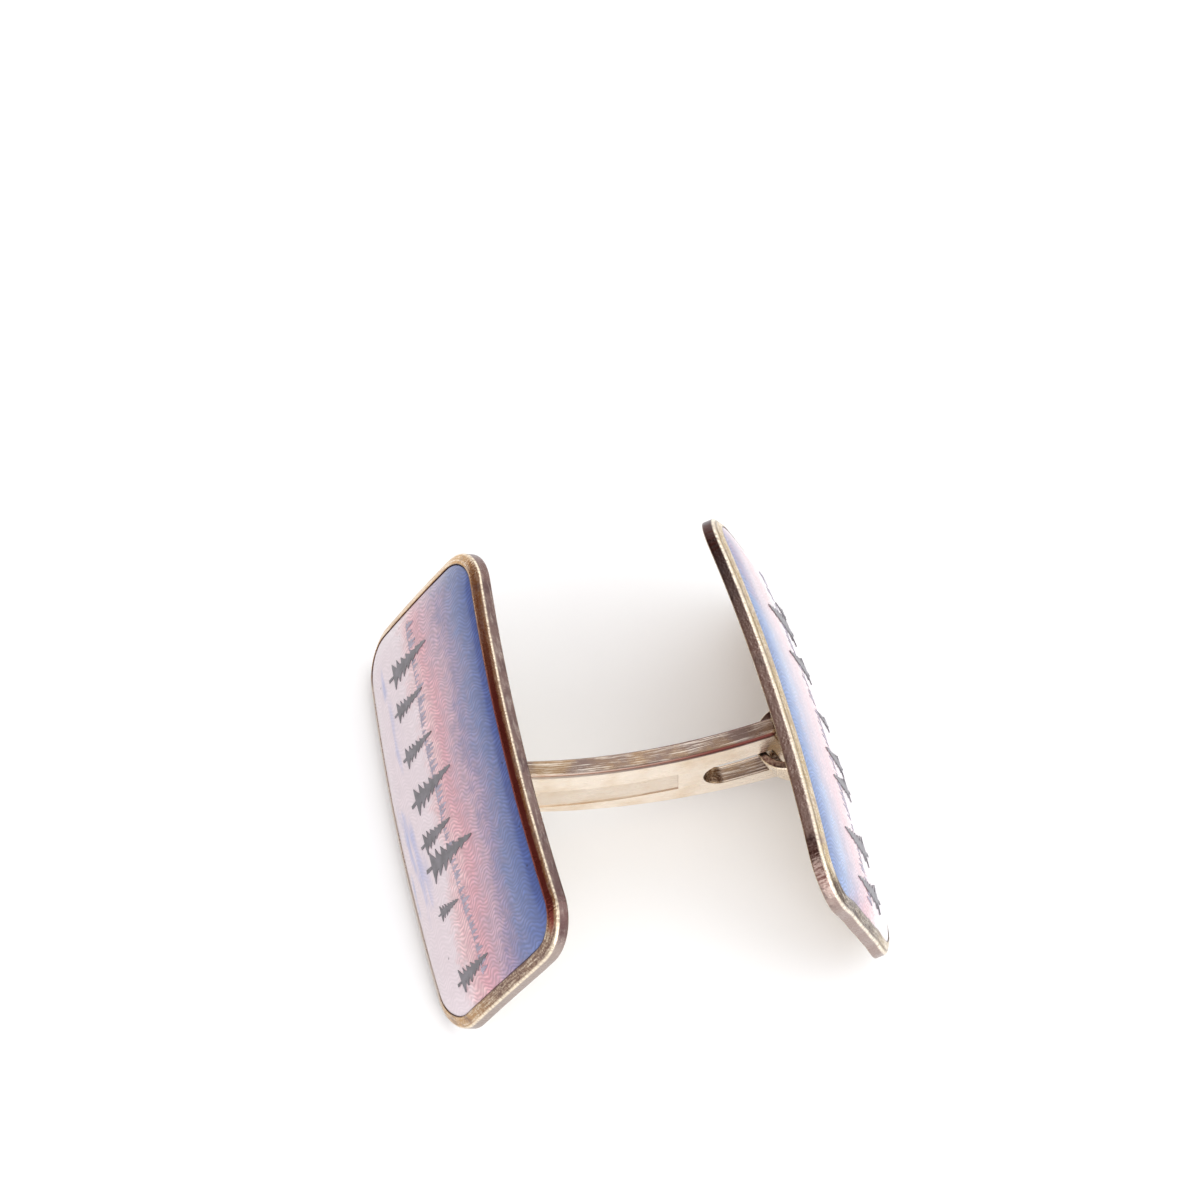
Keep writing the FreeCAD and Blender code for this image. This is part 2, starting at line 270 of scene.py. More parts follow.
def waver(places: np.ndarray, amplitude: float, seed: int) -> np.ndarray:
    """Slow unevenness of hand work along a closed line.

    Args:
        places: Shares of the way round, from 0 to 1.
        amplitude: Largest departure.
        seed: Fixed seed of the phases.

    Returns:
        Departures from 0 to the amplitude, never negative.
    """
    draw = np.random.RandomState(seed)
    total = np.zeros_like(places)
    for wave in HAND_WAVES:
        total += np.sin(2 * math.pi * (wave * places + draw.rand())) / math.sqrt(wave)
    low, high = total.min(), total.max()
    return amplitude * (total - low) / (high - low)


def ring_faces(count: int, rings: int) -> Faces:
    """Quads between rings of points that follow each other.

    Args:
        count: Points on each ring.
        rings: Number of rings.

    Returns:
        Faces as numbers of points.
    """
    faces = []
    for low in range(0, (rings - 1) * count, count):
        for i in range(count):
            j = (i + 1) % count
            faces.append((low + i, low + j, low + count + j, low + count + i))
    return faces


def face_out(mesh: Mesh) -> None:
    """Turns all faces of a closed mesh outwards.

    Args:
        mesh: Mesh to change.
    """
    shell = bmesh.new()
    shell.from_mesh(mesh)
    bmesh.ops.recalc_face_normals(shell, faces=shell.faces)
    shell.to_mesh(mesh)
    shell.free()


def closed_mesh(name: str, points: np.ndarray, faces: Faces, matrix: Matrix) -> Mesh:
    """Makes a smooth closed mesh and puts it in its place.

    Args:
        name: Name of the mesh.
        points: Points in the plate's millimetres.
        faces: Faces as numbers of points.
        matrix: From the plate's millimetres to the frame's metres.

    Returns:
        The mesh, in the frame.
    """
    mesh = bpy.data.meshes.new(name)
    mesh.from_pydata([tuple(point) for point in points], [], faces)
    face_out(mesh)
    mesh.transform(matrix)
    mesh.shade_smooth()
    return mesh


def keep(mesh: Mesh, label: str, vectors: np.ndarray) -> None:
    """Keeps one vector for each point of a mesh.

    Args:
        mesh: Mesh that gets the attribute.
        label: Name of the attribute.
        vectors: One row for each point.
    """
    layer = mesh.attributes.new(label, "FLOAT_VECTOR", "POINT")
    layer.data.foreach_set("vector", vectors.astype(np.float32).ravel())


def link_mesh(mesh: Mesh, name: str, material: Material) -> Piece:
    """Puts a finished mesh into the scene with its material.

    Args:
        mesh: Mesh with its place in its points.
        name: Name of the piece.
        material: Finish of the whole piece.

    Returns:
        The new object, at the origin.
    """
    mesh.materials.clear()
    mesh.materials.append(material)
    obj = bpy.data.objects.new(name, mesh)
    bpy.context.scene.collection.objects.link(obj)
    return obj


@dataclass(frozen=True)
class GuillocheEnamel:
    """Translucent enamel fired over engine-turned silver.

    The eye sees soft bands of colour that run into each other, the bright wavy cuts of the engraving
    through them, a few dark specks from firing, and one smooth gloss coat over all.
    """

    name: str = "enamel_over_guilloche"
    deep: str = "#3f548f"
    sky: str = "#515d8f"
    dusk: str = "#7c6b8e"
    mauve: str = "#a68698"
    rose: str = "#be8691"
    blush: str = "#cda9ad"
    snow: str = "#d0c2c8"
    shadow: str = "#8794c6"
    heights: tuple[float, ...] = (0.0, 0.36, 0.46, 0.58, 0.7, 0.79, 0.9, 1.0)
    half_width: float = PLATE_WIDTH / 2 - RIM_WIDTH
    half_length: float = PLATE_LENGTH / 2 - RIM_WIDTH
    near_from: float = 2.5
    near_drop: float = 0.14
    far_from: float = -4.0
    far_drop: float = 0.08
    flow: float = 0.13
    flow_size: float = 3.125
    mottle: float = 0.12
    mottle_size: float = 1 / 2.2
    drift_size: float = 1 / 1.2
    drift_stretch: Triple = (1.0, 1 / 0.22, 1 / 1.1)
    cut_spacing: float = 0.2
    cut_wave: float = 1.15
    cut_swing: float = 0.15
    cut_sway: float = 7.3
    cut_shake: float = 0.55
    shake_size: float = 1 / 1.3
    flash_size: float = 1 / 2.6
    cut_depth: float = 0.02
    cut_light: Zone = (-0.2, 0.42)
    speck_spacing: float = 0.7
    speck_edge: Zone = (0.06, 0.1)
    speck_share: float = 0.3
    speck_light: float = 0.45
    seed: float = 0.0
    patch_ramp: Ramp = (0.54, 0.7, 0.0, 0.9)
    low_ramp: Ramp = (0.28, 0.08)
    shown_ramp: Ramp = (0.34, 0.5, 0.25)
    strong_ramp: Ramp = (0.35, 0.68, 0.25)

    def material(self) -> Material:
        """Builds the material from the plate's own coordinates in millimetres.

        Returns:
            The finish of one enamel field.
        """
        material, tree, shader = new_material(self.name)
        place = add(tree, "Attribute", attribute_name=PLATE_PLACE).node.outputs["Vector"]
        axes = add(tree, "SeparateXYZ", {"Vector": place}).node.outputs
        share = ramp(tree, axes["Z"], -self.half_width, self.half_width)
        band = self.band(tree, share, axes["Y"], place)
        tones = (self.snow, self.snow, self.blush, self.rose, self.mauve, self.dusk, self.sky, self.deep)
        sky = add(tree, "ValToRGB", {"Fac": band}, stops=tuple(zip(self.heights, tones)))
        drawn = add(tree, "Mapping", {"Vector": place, "Scale": per_mm(self.drift_stretch)})
        drifts = noise(tree, drawn, self.drift_size, detail=4.0, layer=self.seed + 3.0)
        patch = ramp(tree, drifts, *self.patch_ramp, smooth=True)
        low = ramp(tree, share, *self.low_ramp, smooth=True)
        painted = layered(tree, sky, (self.shadow, patch, low))
        cuts = self.cuts(tree, axes["Y"], axes["Z"], place)
        shown = ramp(tree, band, *self.shown_ramp, smooth=True)
        lit = ramp(tree, cuts, 0.0, 1.0, *self.cut_light)
        gain = calculate(tree, "MULTIPLY_ADD", lit, shown, 1.0)
        engraved = add(tree, "VectorMath", {0: painted, "Scale": gain}, operation="SCALE")
        speck = self.specks(tree, place)
        colour = add(tree, "VectorMath", {0: engraved, "Scale": speck}, operation="SCALE")
        relief = calculate(tree, "MULTIPLY", cuts, shown)
        bump = add(tree, "Bump", {"Height": relief, "Strength": 0.4, "Distance": self.cut_depth * MM})
        connect(tree, shader, {"Base Color": colour, "Normal": bump, "Roughness": 0.4, "IOR": GLASS_IOR,
                               "Coat Weight": 1.0, "Coat Roughness": 0.03, "Coat IOR": GLASS_IOR})
        return material

    def band(self, tree: Tree, share: Socket, along: Socket, place: Socket) -> Socket:
        """Height in the bands of colour, uneven as enamel flows and shifted towards both ends.

        Args:
            tree: Tree of the material.
            share: Height on the field from 0 to 1.
            along: Place along the plate in millimetres.
            place: All three coordinates.

        Returns:
            Output for the ramp of colours.
        """
        drift = noise(tree, place, self.flow_size, detail=4.0, layer=self.seed)
        wobble = ramp(tree, drift, 0.0, 1.0, -self.flow, self.flow)
        near = ramp(tree, along, self.near_from, self.half_length, 0.0, self.near_drop)
        far = ramp(tree, along, self.far_from, -self.half_length, 0.0, self.far_drop)
        ends = calculate(tree, "ADD", near, far)
        fine = noise(tree, place, self.mottle_size, detail=5.0, roughness=0.7)
        mottle = ramp(tree, fine, 0.0, 1.0, -self.mottle, self.mottle)
        height = share
        for part in (ends, wobble, mottle):
            height = calculate(tree, "ADD", height, part)
        return height

    def cuts(self, tree: Tree, along: Socket, up: Socket, place: Socket) -> Socket:
        """Wavy engine-turned cuts that cross the plate, one beside the other along it.

        Args:
            tree: Tree of the material.
            along: Place along the plate in millimetres.
            up: Place across the plate in millimetres.
            place: All three coordinates.

        Returns:
            Output that runs from 0 in a cut's valley to 1 on its ridge.
        """
        turn = 2 * math.pi
        lean = calculate(tree, "MULTIPLY", along, turn / self.cut_sway)
        sway = calculate(tree, "SINE", lean)
        phase = calculate(tree, "MULTIPLY_ADD", up, turn / self.cut_wave, sway)
        swing = calculate(tree, "SINE", phase)
        moved = calculate(tree, "MULTIPLY_ADD", swing, self.cut_swing, along)
        shake = noise(tree, place, self.shake_size, detail=2.0)
        bent = calculate(tree, "MULTIPLY_ADD", shake, self.cut_shake, moved)
        rows = calculate(tree, "MULTIPLY", bent, turn / self.cut_spacing)
        ridge = calculate(tree, "SINE", rows)
        line = ramp(tree, ridge, -1.0, 1.0)
        flash = noise(tree, place, self.flash_size, detail=3.0)
        strong = ramp(tree, flash, *self.strong_ramp)
        return calculate(tree, "MULTIPLY", line, strong)

    def specks(self, tree: Tree, place: Socket) -> Socket:
        """Small dark specks from firing, in some of the cells of a loose pattern.

        Args:
            tree: Tree of the material.
            place: The plate's own coordinates.

        Returns:
            Share of light that is left.
        """
        cells = add(tree, "TexVoronoi", {"Vector": place, "Scale": 1 / self.speck_spacing}).node.outputs
        outside = ramp(tree, cells["Distance"], *self.speck_edge)
        chance = add(tree, "SeparateColor", {"Color": cells["Color"]})
        empty = calculate(tree, "LESS_THAN", chance, 1 - self.speck_share)
        clear = calculate(tree, "MAXIMUM", outside, empty)
        return ramp(tree, clear, 0.0, 1.0, self.speck_light, 1.0)


@dataclass(frozen=True)
class GiltSilver:
    """Struck silver with worn gilding, filed and tarnished at its wall, with painted light and shade.

    The eye sees warm gold on the rim, a mottled grey-brown wall, a bright arris between them, partly rubbed
    and partly a painted highlight, and a dark line where the rim meets the enamel. Painted highlights,
    painted shade and a painted dark red reflection lie on the rim and the wall. Each zone says where along
    the plate, across it or at its edge a change of tone starts and where it is full.
    """

    name: str = "gilt_silver"
    gold: str = "#c39c6c"
    worn: str = "#ecdcc4"
    wall: str = "#7d6762"
    wall_dark: str = "#5f4d4d"
    wall_highlight: str = "#cdc0b5"
    red_reflection: str = "#7d3f38"
    groove_and_shadow: str = "#4a332c"
    back: str = "#d3c2a8"
    end_tone: str = "#d2c4b8"
    grain: float = 0.09
    grain_share: float = 0.35
    blotch_size: float = 1 / 0.9
    mark_size: Triple = (0.14, 1 / 1.5, 1 / 1.5)
    speck_size: Triple = (1 / 7, 1 / 1.6, 1 / 7)
    streak_size: Triple = (1 / 1.1, 1 / 11, 1 / 11)
    relief: float = 0.03
    red_reflection_share: float = 1.0
    dirt_ramp: Ramp = (0.475, 0.62)
    dark_share: float = 0.55
    red_bands: float = 0.12
    band_ramp: Ramp = (0.42, 0.56)
    band_least: float = 0.3
    arris_shadow_line: float = 0.0
    dark_zone: Zone = (4.0, 8.5)
    corner_zone: Zone = (6.6, 7.8)
    corner_stop: Zone = (9.6, 9.1)
    end_zone: Zone = (9.35, 9.8)
    end_share: float = 0.4
    darker_end_zone: Zone = (8.4, 9.3)
    raised_zone: Zone = (-3.8, -0.5)
    raised_least: float = 0.15
    lower_zone: Zone = (-4.2, -4.6)
    lower_run: Zone = (8.6, 7.6)
    upper_zone: Zone = (4.1, 4.7)
    upper_run: Zone = (-9.3, -2.0)
    upper_least: float = 0.2
    rim_zone: Zone = (0.01, 0.05)
    arris_zone: Zone = (EDGE_WALL - 0.1, EDGE_WALL - 0.03)
    arris_stop: Zone = (0.1, 0.04)
    seam_zone: Zone = (RIM_BEVEL + 0.02, RIM_WIDTH - 0.02)
    back_zone: Zone = (0.06, 0.02)
    shadow_line_zone: Zone = (0.1, 0.13)
    shadow_line_stop: Zone = (0.22, 0.16)
    red_reflection_zone: Zone = (-0.01, 0.09)
    ragged: float = 0.22
    broken_ramp: Ramp = (0.36, 0.56, 0.35)
    seam_strength_ramp: Ramp = (0.0, 1.0, 1.0, 0.15)
    stain_ramp: Ramp = (0.35, 0.8, 0.0, 0.45)
    roughness: Zone = (0.14, 0.42)
    filed_ramp: Ramp = (0.3, 0.65, 0.35)
    highlight_speck_ramp: Ramp = (0.5, 0.72, 0.0, 0.5)
    gilded_ramp: Ramp = (0.46, 0.72)
    thin_ramp: Ramp = (0.52, 0.68, 0.0, 0.8)
    greyed_ramp: Ramp = (0.35, 0.75, 0.3, 0.9)

    def material(self) -> Material:
        """Builds the material from the place on the plate and at its edge, in millimetres.

        Returns:
            The finish of one tray.
        """
        material, tree, shader = new_material(self.name)
        plate = add(tree, "Attribute", attribute_name=PLATE_PLACE).node.outputs["Vector"]
        edge = add(tree, "Attribute", attribute_name=EDGE_PLACE).node.outputs["Vector"]
        at_edge = add(tree, "SeparateXYZ", {"Vector": edge}).node.outputs
        height, inset = at_edge["Y"], at_edge["Z"]
        blotch = noise(tree, plate, self.blotch_size, detail=7.0, roughness=0.68)
        grains = add(tree, "TexVoronoi", {"Vector": plate, "Scale": 1 / self.grain}, feature="SMOOTH_F1")
        filed = add(tree, "Mapping", {"Vector": edge, "Scale": per_mm(self.mark_size)})
        marks = noise(tree, filed, 1.0, detail=4.0, roughness=0.65)
        wall = self.wall_colour(tree, plate, blotch, marks)
        # Painted highlight along the lower long side of the rim.
        lower_highlight = self.lower_side(tree, plate)
        rim = self.rim_colour(tree, plate, inset, edge, blotch, grains, lower_highlight)
        on_rim = ramp(tree, inset, *self.rim_zone)
        # The bright line on the arris is partly rubbed wear and partly a painted highlight.
        arris = ramp(tree, height, *self.arris_zone)
        outer = ramp(tree, inset, *self.arris_stop)
        broken = ramp(tree, marks, *self.broken_ramp)
        # The seam's dark line fades where the highlight is painted.
        seam_strength = ramp(tree, lower_highlight, *self.seam_strength_ramp)
        seam = ramp(tree, inset, *self.seam_zone, 0.0, seam_strength)
        behind = ramp(tree, height, *self.back_zone)
        stain = ramp(tree, blotch, *self.stain_ramp)
        back = layered(tree, self.back, (self.wall, stain))
        colour = layered(tree, wall, (rim, on_rim), (self.worn, arris, outer, broken), (self.groove_and_shadow, seam),
                         (back, behind))
        rough = ramp(tree, blotch, 0.0, 1.0, *self.roughness)
        relief = calculate(tree, "ADD", grains, marks)
        bump = add(tree, "Bump", {"Height": relief, "Strength": 0.45, "Distance": self.relief * MM})
        connect(tree, shader, {"Base Color": colour, "Roughness": rough, "Normal": bump, "Metallic": 1.0})
        return material

    def wall_colour(self, tree: Tree, plate: Socket, blotch: Socket, marks: Socket) -> Socket:
        """Mottled wall: brown tarnish in file marks, specks of painted highlight, its own tone on the ends.

        The corners carry bands of a painted dark red reflection, and the wall darkens towards one end.

        Args:
            tree: Tree of the material.
            plate: The plate's own coordinates.
            blotch: Slow noise.
            marks: File marks across the wall.

        Returns:
            Colour of the wall.
        """
        dirt = ramp(tree, blotch, *self.dirt_ramp)
        filed = ramp(tree, marks, *self.filed_ramp)
        drawn = add(tree, "Mapping", {"Vector": plate, "Scale": per_mm(self.speck_size)})
        fine = noise(tree, drawn, 1.0, detail=5.0, roughness=0.7)
        # Specks of painted highlight on the wall.
        specks = ramp(tree, fine, *self.highlight_speck_ramp)
        along = add(tree, "SeparateXYZ", {"Vector": plate}).node.outputs["Y"]
        side = calculate(tree, "ABSOLUTE", along)
        dim = ramp(tree, along, *self.dark_zone, 0.0, self.dark_share, smooth=True)
        # Bands of painted dark red reflection on the corners of the wall.
        corner = ramp(tree, side, *self.corner_zone)
        before = ramp(tree, side, *self.corner_stop)
        bands = ramp(tree, marks, *self.band_ramp, self.band_least * self.red_bands, self.red_bands)
        end = ramp(tree, side, *self.end_zone, 0.0, self.end_share)
        return layered(tree, self.wall, (self.wall_dark, dirt, filed), (self.wall_highlight, specks),
                       (self.wall_dark, dim), (self.red_reflection, corner, before, bands), (self.end_tone, end))

    def lower_side(self, tree: Tree, plate: Socket) -> Socket:
        """Mask of the lower long side, where a highlight is painted bright.

        Args:
            tree: Tree of the material.
            plate: The plate's own coordinates.

        Returns:
            Output from 0 to 1.
        """
        axes = add(tree, "SeparateXYZ", {"Vector": plate}).node.outputs
        side = calculate(tree, "ABSOLUTE", axes["Y"])
        inside = ramp(tree, side, *self.lower_run)
        low = ramp(tree, axes["Z"], *self.lower_zone)
        return calculate(tree, "MULTIPLY", inside, low)

    def rim_colour(self, tree: Tree, plate: Socket, inset: Socket, edge: Socket, blotch: Socket,
                   grains: Socket, lower_highlight: Socket) -> Socket:
        """Gilded rim, streaked along its run and darker near one end, with a painted highlight along the
        lower side, a painted shadow line beside the arris and a painted dark red reflection beside the upper
        edge.

        Args:
            tree: Tree of the material.
            plate: The plate's own coordinates.
            inset: Distance in from the edge.
            edge: Way along the edge, height over the back and inset together.
            blotch: Slow noise.
            grains: Cells of the granular gilding.
            lower_highlight: Mask of the painted highlight on the lower long side.

        Returns:
            Colour of the rim.
        """
        axes = add(tree, "SeparateXYZ", {"Vector": plate}).node.outputs
        drawn = add(tree, "Mapping", {"Vector": edge, "Scale": per_mm(self.streak_size)})
        streaks = noise(tree, drawn, 1.0, detail=5.0, roughness=0.65)
        uneven = calculate(tree, "MULTIPLY_ADD", grains, self.grain_share, streaks)
        gilded = ramp(tree, uneven, *self.gilded_ramp)
        thin = ramp(tree, blotch, *self.thin_ramp)
        # Darker near one end of the rim.
        darker_end = ramp(tree, axes["Y"], *self.darker_end_zone)
        raised = ramp(tree, axes["Z"], *self.raised_zone, self.raised_least)
        greyed = ramp(tree, uneven, *self.greyed_ramp)
        # Painted shadow line beside the arris, in the seam's dark colour; only the toggle plate has it.
        beside = ramp(tree, inset, *self.shadow_line_zone)
        beyond = ramp(tree, inset, *self.shadow_line_stop, 0.0, self.arris_shadow_line)
        # Painted dark red reflection on the rim beside the upper edge.
        upper = ramp(tree, axes["Z"], *self.upper_zone, smooth=True)
        later = ramp(tree, axes["Y"], *self.upper_run, self.upper_least)
        ragged = calculate(tree, "MULTIPLY_ADD", blotch, -self.ragged, inset)
        inner = ramp(tree, ragged, *self.red_reflection_zone, 0.0, self.red_reflection_share)
        return layered(tree, self.worn, (self.gold, gilded), (self.wall, thin), (self.wall_highlight, lower_highlight),
                       (self.wall_dark, darker_end, raised, greyed), (self.groove_and_shadow, beside, beyond),
                       (self.red_reflection, upper, later, inner))


@dataclass(frozen=True)
class PaleGilt:
    """Polished strip silver with a thin pale gilding, and brown painted shade on its narrow faces.

    The eye sees champagne flanks with fine drawn lines, brown streaked painted shade with flecks of painted
    highlight on the narrow upper face and in the slot, and a maroon line of painted shade along the upper
    arris.
    """

    name: str = "pale_gilt_strip"
    flank: str = "#fdf2e4"
    flank_shade: str = "#ead5bb"
    narrow_face_shade: str = "#7d6a63"
    umber: str = "#9a7f63"
    fleck_highlight: str = "#f6ecdf"
    line: str = "#5a312c"
    bend_radius: float = 18.2
    bend_height: float = 21.476
    top_radius: float = 16.22
    half_thickness: float = 0.42
    panel_depth: float = 0.05
    step_shares: Zone = (0.1, 0.4)
    floor_shares: Zone = (0.6, 0.95)
    floor_clear: float = 0.8
    streak_size: Triple = (2.0, 1 / 12, 1 / 12)
    cloud_size: float = 1 / 0.6
    narrow_inset: Zone = (0.07, 0.11)
    line_reach: Zone = (0.3, 0.2)
    line_run: Zone = (-7.0, 4.0)
    line_least: float = 0.45
    under_reach: Zone = (1.6, 1.75)
    relief: float = 0.02
    warm_ramp: Ramp = (0.42, 0.62)
    bright_ramp: Ramp = (0.5, 0.7)
    roughness: Zone = (0.12, 0.42)
    shade_ramp: Ramp = (0.45, 0.75)

    def material(self) -> Material:
        """Builds the material from object coordinates, turned to the way round and out from the bend.

        Returns:
            The finish of the bar.
        """
        material, tree, shader = new_material(self.name)
        place = add(tree, "TexCoord").node.outputs["Object"]
        middle = (0.0, 0.0, -self.bend_height)
        centred = add(tree, "Mapping", {"Vector": place, "Scale": IN_MM, "Location": middle})
        axes = add(tree, "SeparateXYZ", {"Vector": centred}).node.outputs
        flat = add(tree, "CombineXYZ", {"X": axes["X"], "Z": axes["Z"]})
        radius = add(tree, "VectorMath", {0: flat}, operation="LENGTH")
        drop = calculate(tree, "MULTIPLY", axes["Z"], -1.0)
        angle = calculate(tree, "ARCTAN2", axes["X"], drop)
        way = calculate(tree, "MULTIPLY", angle, self.bend_radius)
        side = calculate(tree, "ABSOLUTE", axes["Y"])
        strip = add(tree, "CombineXYZ", {"X": way, "Y": axes["Y"], "Z": radius})
        drawn = add(tree, "Mapping", {"Vector": strip, "Scale": per_mm(self.streak_size)})
        streaks = noise(tree, drawn, 1.0, detail=6.0, roughness=0.7)
        clouds = noise(tree, strip, self.cloud_size, detail=5.0)
        warm = ramp(tree, clouds, *self.warm_ramp)
        bright = ramp(tree, streaks, *self.bright_ramp)
        # The narrow faces are brown painted shade, mottled, with flecks of painted highlight along the
        # streaks.
        top = layered(tree, self.narrow_face_shade, (self.umber, warm), (self.fleck_highlight, bright))
        narrow = ramp(tree, side, *(self.half_thickness - inset for inset in self.narrow_inset))
        under = ramp(tree, radius, *(self.bend_radius + reach for reach in self.under_reach))
        shaded_narrow_faces = calculate(tree, "SUBTRACT", narrow, under, clamped=True)
        flank = self.flank_colour(tree, clouds, side, radius, way)
        colour = layered(tree, flank, (top, shaded_narrow_faces))
        rough = ramp(tree, streaks, 0.0, 1.0, *self.roughness)
        bump = add(tree, "Bump", {"Height": streaks, "Strength": 0.35, "Distance": self.relief * MM})
        connect(tree, shader, {"Base Color": colour, "Roughness": rough, "Normal": bump, "Metallic": 1.0})
        return material

    def flank_colour(self, tree: Tree, clouds: Socket, side: Socket, radius: Socket, way: Socket) -> Socket:
        """Pale flank with a brown step round the sunk panel and a line of painted shade along its upper
        arris.

        Args:
            tree: Tree of the material.
            clouds: Slow noise.
            side: Distance from the middle of the strip's thickness.
            radius: Distance from the middle of the bend.
            way: Way along the strip.

        Returns:
            Colour of the flank.
        """
        half, depth = self.half_thickness, self.panel_depth
        shade = ramp(tree, clouds, *self.shade_ramp)
        step = ramp(tree, side, *(half - share * depth for share in self.step_shares))
        floor_ends = (half - share * depth for share in self.floor_shares)
        floor = ramp(tree, side, *floor_ends, 0.0, self.floor_clear)
        sunk = calculate(tree, "SUBTRACT", step, floor, clamped=True)
        # A maroon line of painted shade along the upper arris, weaker towards one end.
        beside = ramp(tree, radius, *(self.top_radius + reach for reach in self.line_reach))
        later = ramp(tree, way, *self.line_run, self.line_least)
        return layered(tree, self.flank, (self.flank_shade, shade), (self.umber, sunk),
                       (self.line, beside, later))


@dataclass(frozen=True)
class BowedGilt:
    """Small bowed strip of pale gilt silver: cream outside, brown painted shade on its up and down faces.

    The eye sees cream sides and a dark upper edge of painted shade.
    """

    name: str = "pale_gilt_bow"
    side: str = "#f2e2cc"
    edge: str = "#4a2f2b"
    scratch: float = 0.16
    relief: float = 0.02
    shaded_faces_ramp: Ramp = (0.62, 0.8)
    worn_ramp: Ramp = (0.35, 0.62, 1.0, 0.85)
    roughness: Zone = (0.15, 0.4)

    def material(self) -> Material:
        """Builds the material from object coordinates and the face directions that place the painted shade.

        Returns:
            The finish of the staple.
        """
        material, tree, shader = new_material(self.name)
        coords = add(tree, "TexCoord").node.outputs
        place = add(tree, "Mapping", {"Vector": coords["Object"], "Scale": IN_MM})
        scratches = noise(tree, place, self.scratch, detail=4.0)
        facing = add(tree, "SeparateXYZ", {"Vector": coords["Normal"]}).node.outputs["Z"]
        tilt = calculate(tree, "ABSOLUTE", facing)
        # Painted shade on the faces that point up and down, made a little uneven by the scratches.
        shaded_faces = ramp(tree, tilt, *self.shaded_faces_ramp)
        worn = ramp(tree, scratches, *self.worn_ramp)
        colour = layered(tree, self.side, (self.edge, shaded_faces, worn))
        rough = ramp(tree, scratches, 0.0, 1.0, *self.roughness)
        bump = add(tree, "Bump", {"Height": scratches, "Strength": 0.3, "Distance": self.relief * MM})
        connect(tree, shader, {"Base Color": colour, "Roughness": rough, "Normal": bump, "Metallic": 1.0})
        return material


@dataclass(frozen=True)
class SilverSolder:
    """Silver solder as it ran.

    The eye sees a matte grey-gold skin with darker hollows.
    """

    name: str = "silver_solder"
    skin: str = "#cbbba4"
    hollow: str = "#93806c"
    pit: float = 0.35
    levels: Zone = (0.35, 0.6)
    relief: float = 0.03
    roughness: Zone = (0.55, 0.3)

    def material(self) -> Material:
        """Builds the material from object coordinates.

        Returns:
            The finish of the seams.
        """
        material, tree, shader = new_material(self.name)
        coords = add(tree, "TexCoord").node.outputs
        place = add(tree, "Mapping", {"Vector": coords["Object"], "Scale": IN_MM})
        pits = noise(tree, place, self.pit, detail=4.0)
        tones = tuple(zip(self.levels, (self.hollow, self.skin)))
        colour = add(tree, "ValToRGB", {"Fac": pits}, stops=tones)
        rough = ramp(tree, pits, 0.0, 1.0, *self.roughness)
        bump = add(tree, "Bump", {"Height": pits, "Strength": 0.3, "Distance": self.relief * MM})
        connect(tree, shader, {"Base Color": colour, "Roughness": rough, "Normal": bump, "Metallic": 1.0})
        return material


@dataclass(frozen=True)
class OverglazePaint:
    """Overglaze paint, brushed on the fired enamel and fired again.

    The eye sees grey strokes of uneven strength with a soft gloss.
    """

    name: str = "overglaze_grey"
    thick: str = "#5d5a5e"
    thin: str = "#77747a"
    brush: float = 0.5
    levels: Zone = (0.35, 0.7)
    roughness: Zone = (0.25, 0.5)

    def material(self) -> Material:
        """Builds the material from the plate's own coordinates.

        Returns:
            The paint of one row of firs.
        """
        material, tree, shader = new_material(self.name)
        place = add(tree, "Attribute", attribute_name=PLATE_PLACE).node.outputs["Vector"]
        strokes = noise(tree, place, self.brush, detail=3.0)
        tones = tuple(zip(self.levels, (self.thick, self.thin)))
        colour = add(tree, "ValToRGB", {"Fac": strokes}, stops=tones)
        rough = ramp(tree, strokes, 0.0, 1.0, *self.roughness)
        connect(tree, shader, {"Base Color": colour, "Roughness": rough, "IOR": GLASS_IOR})
        return material


METALS = {
    Side.FRONT: GiltSilver(),
    # Toggle copy: more painted red reflection on corners and a painted shadow line beside the arris.
    Side.TOGGLE: GiltSilver(
        name="gilt_silver_dark", gold="#c9b491", worn="#f5e9d6", wall="#ab978f", wall_dark="#4a3f3f",
        red_reflection="#4f2c26", end_tone="#7d6963", red_reflection_share=0.1, dirt_ramp=(0.55, 0.68), dark_share=0.95,
        red_bands=0.9, arris_shadow_line=0.5, dark_zone=(1.0, 8.0), darker_end_zone=(-8.4, -9.3),
    ),
}
ENAMELS = {
    Side.FRONT: GuillocheEnamel(),
    Side.TOGGLE: GuillocheEnamel(
        name="enamel_over_guilloche_b", deep="#5570a4", sky="#647faf", snow="#dcd1d6", near_drop=-0.22,
        far_drop=0.06, seed=7.0,
    ),
}
NEAR_PAINT = OverglazePaint()
FAR_PAINT = OverglazePaint(name="overglaze_pale", thick="#8d8798", thin="#a39cad")


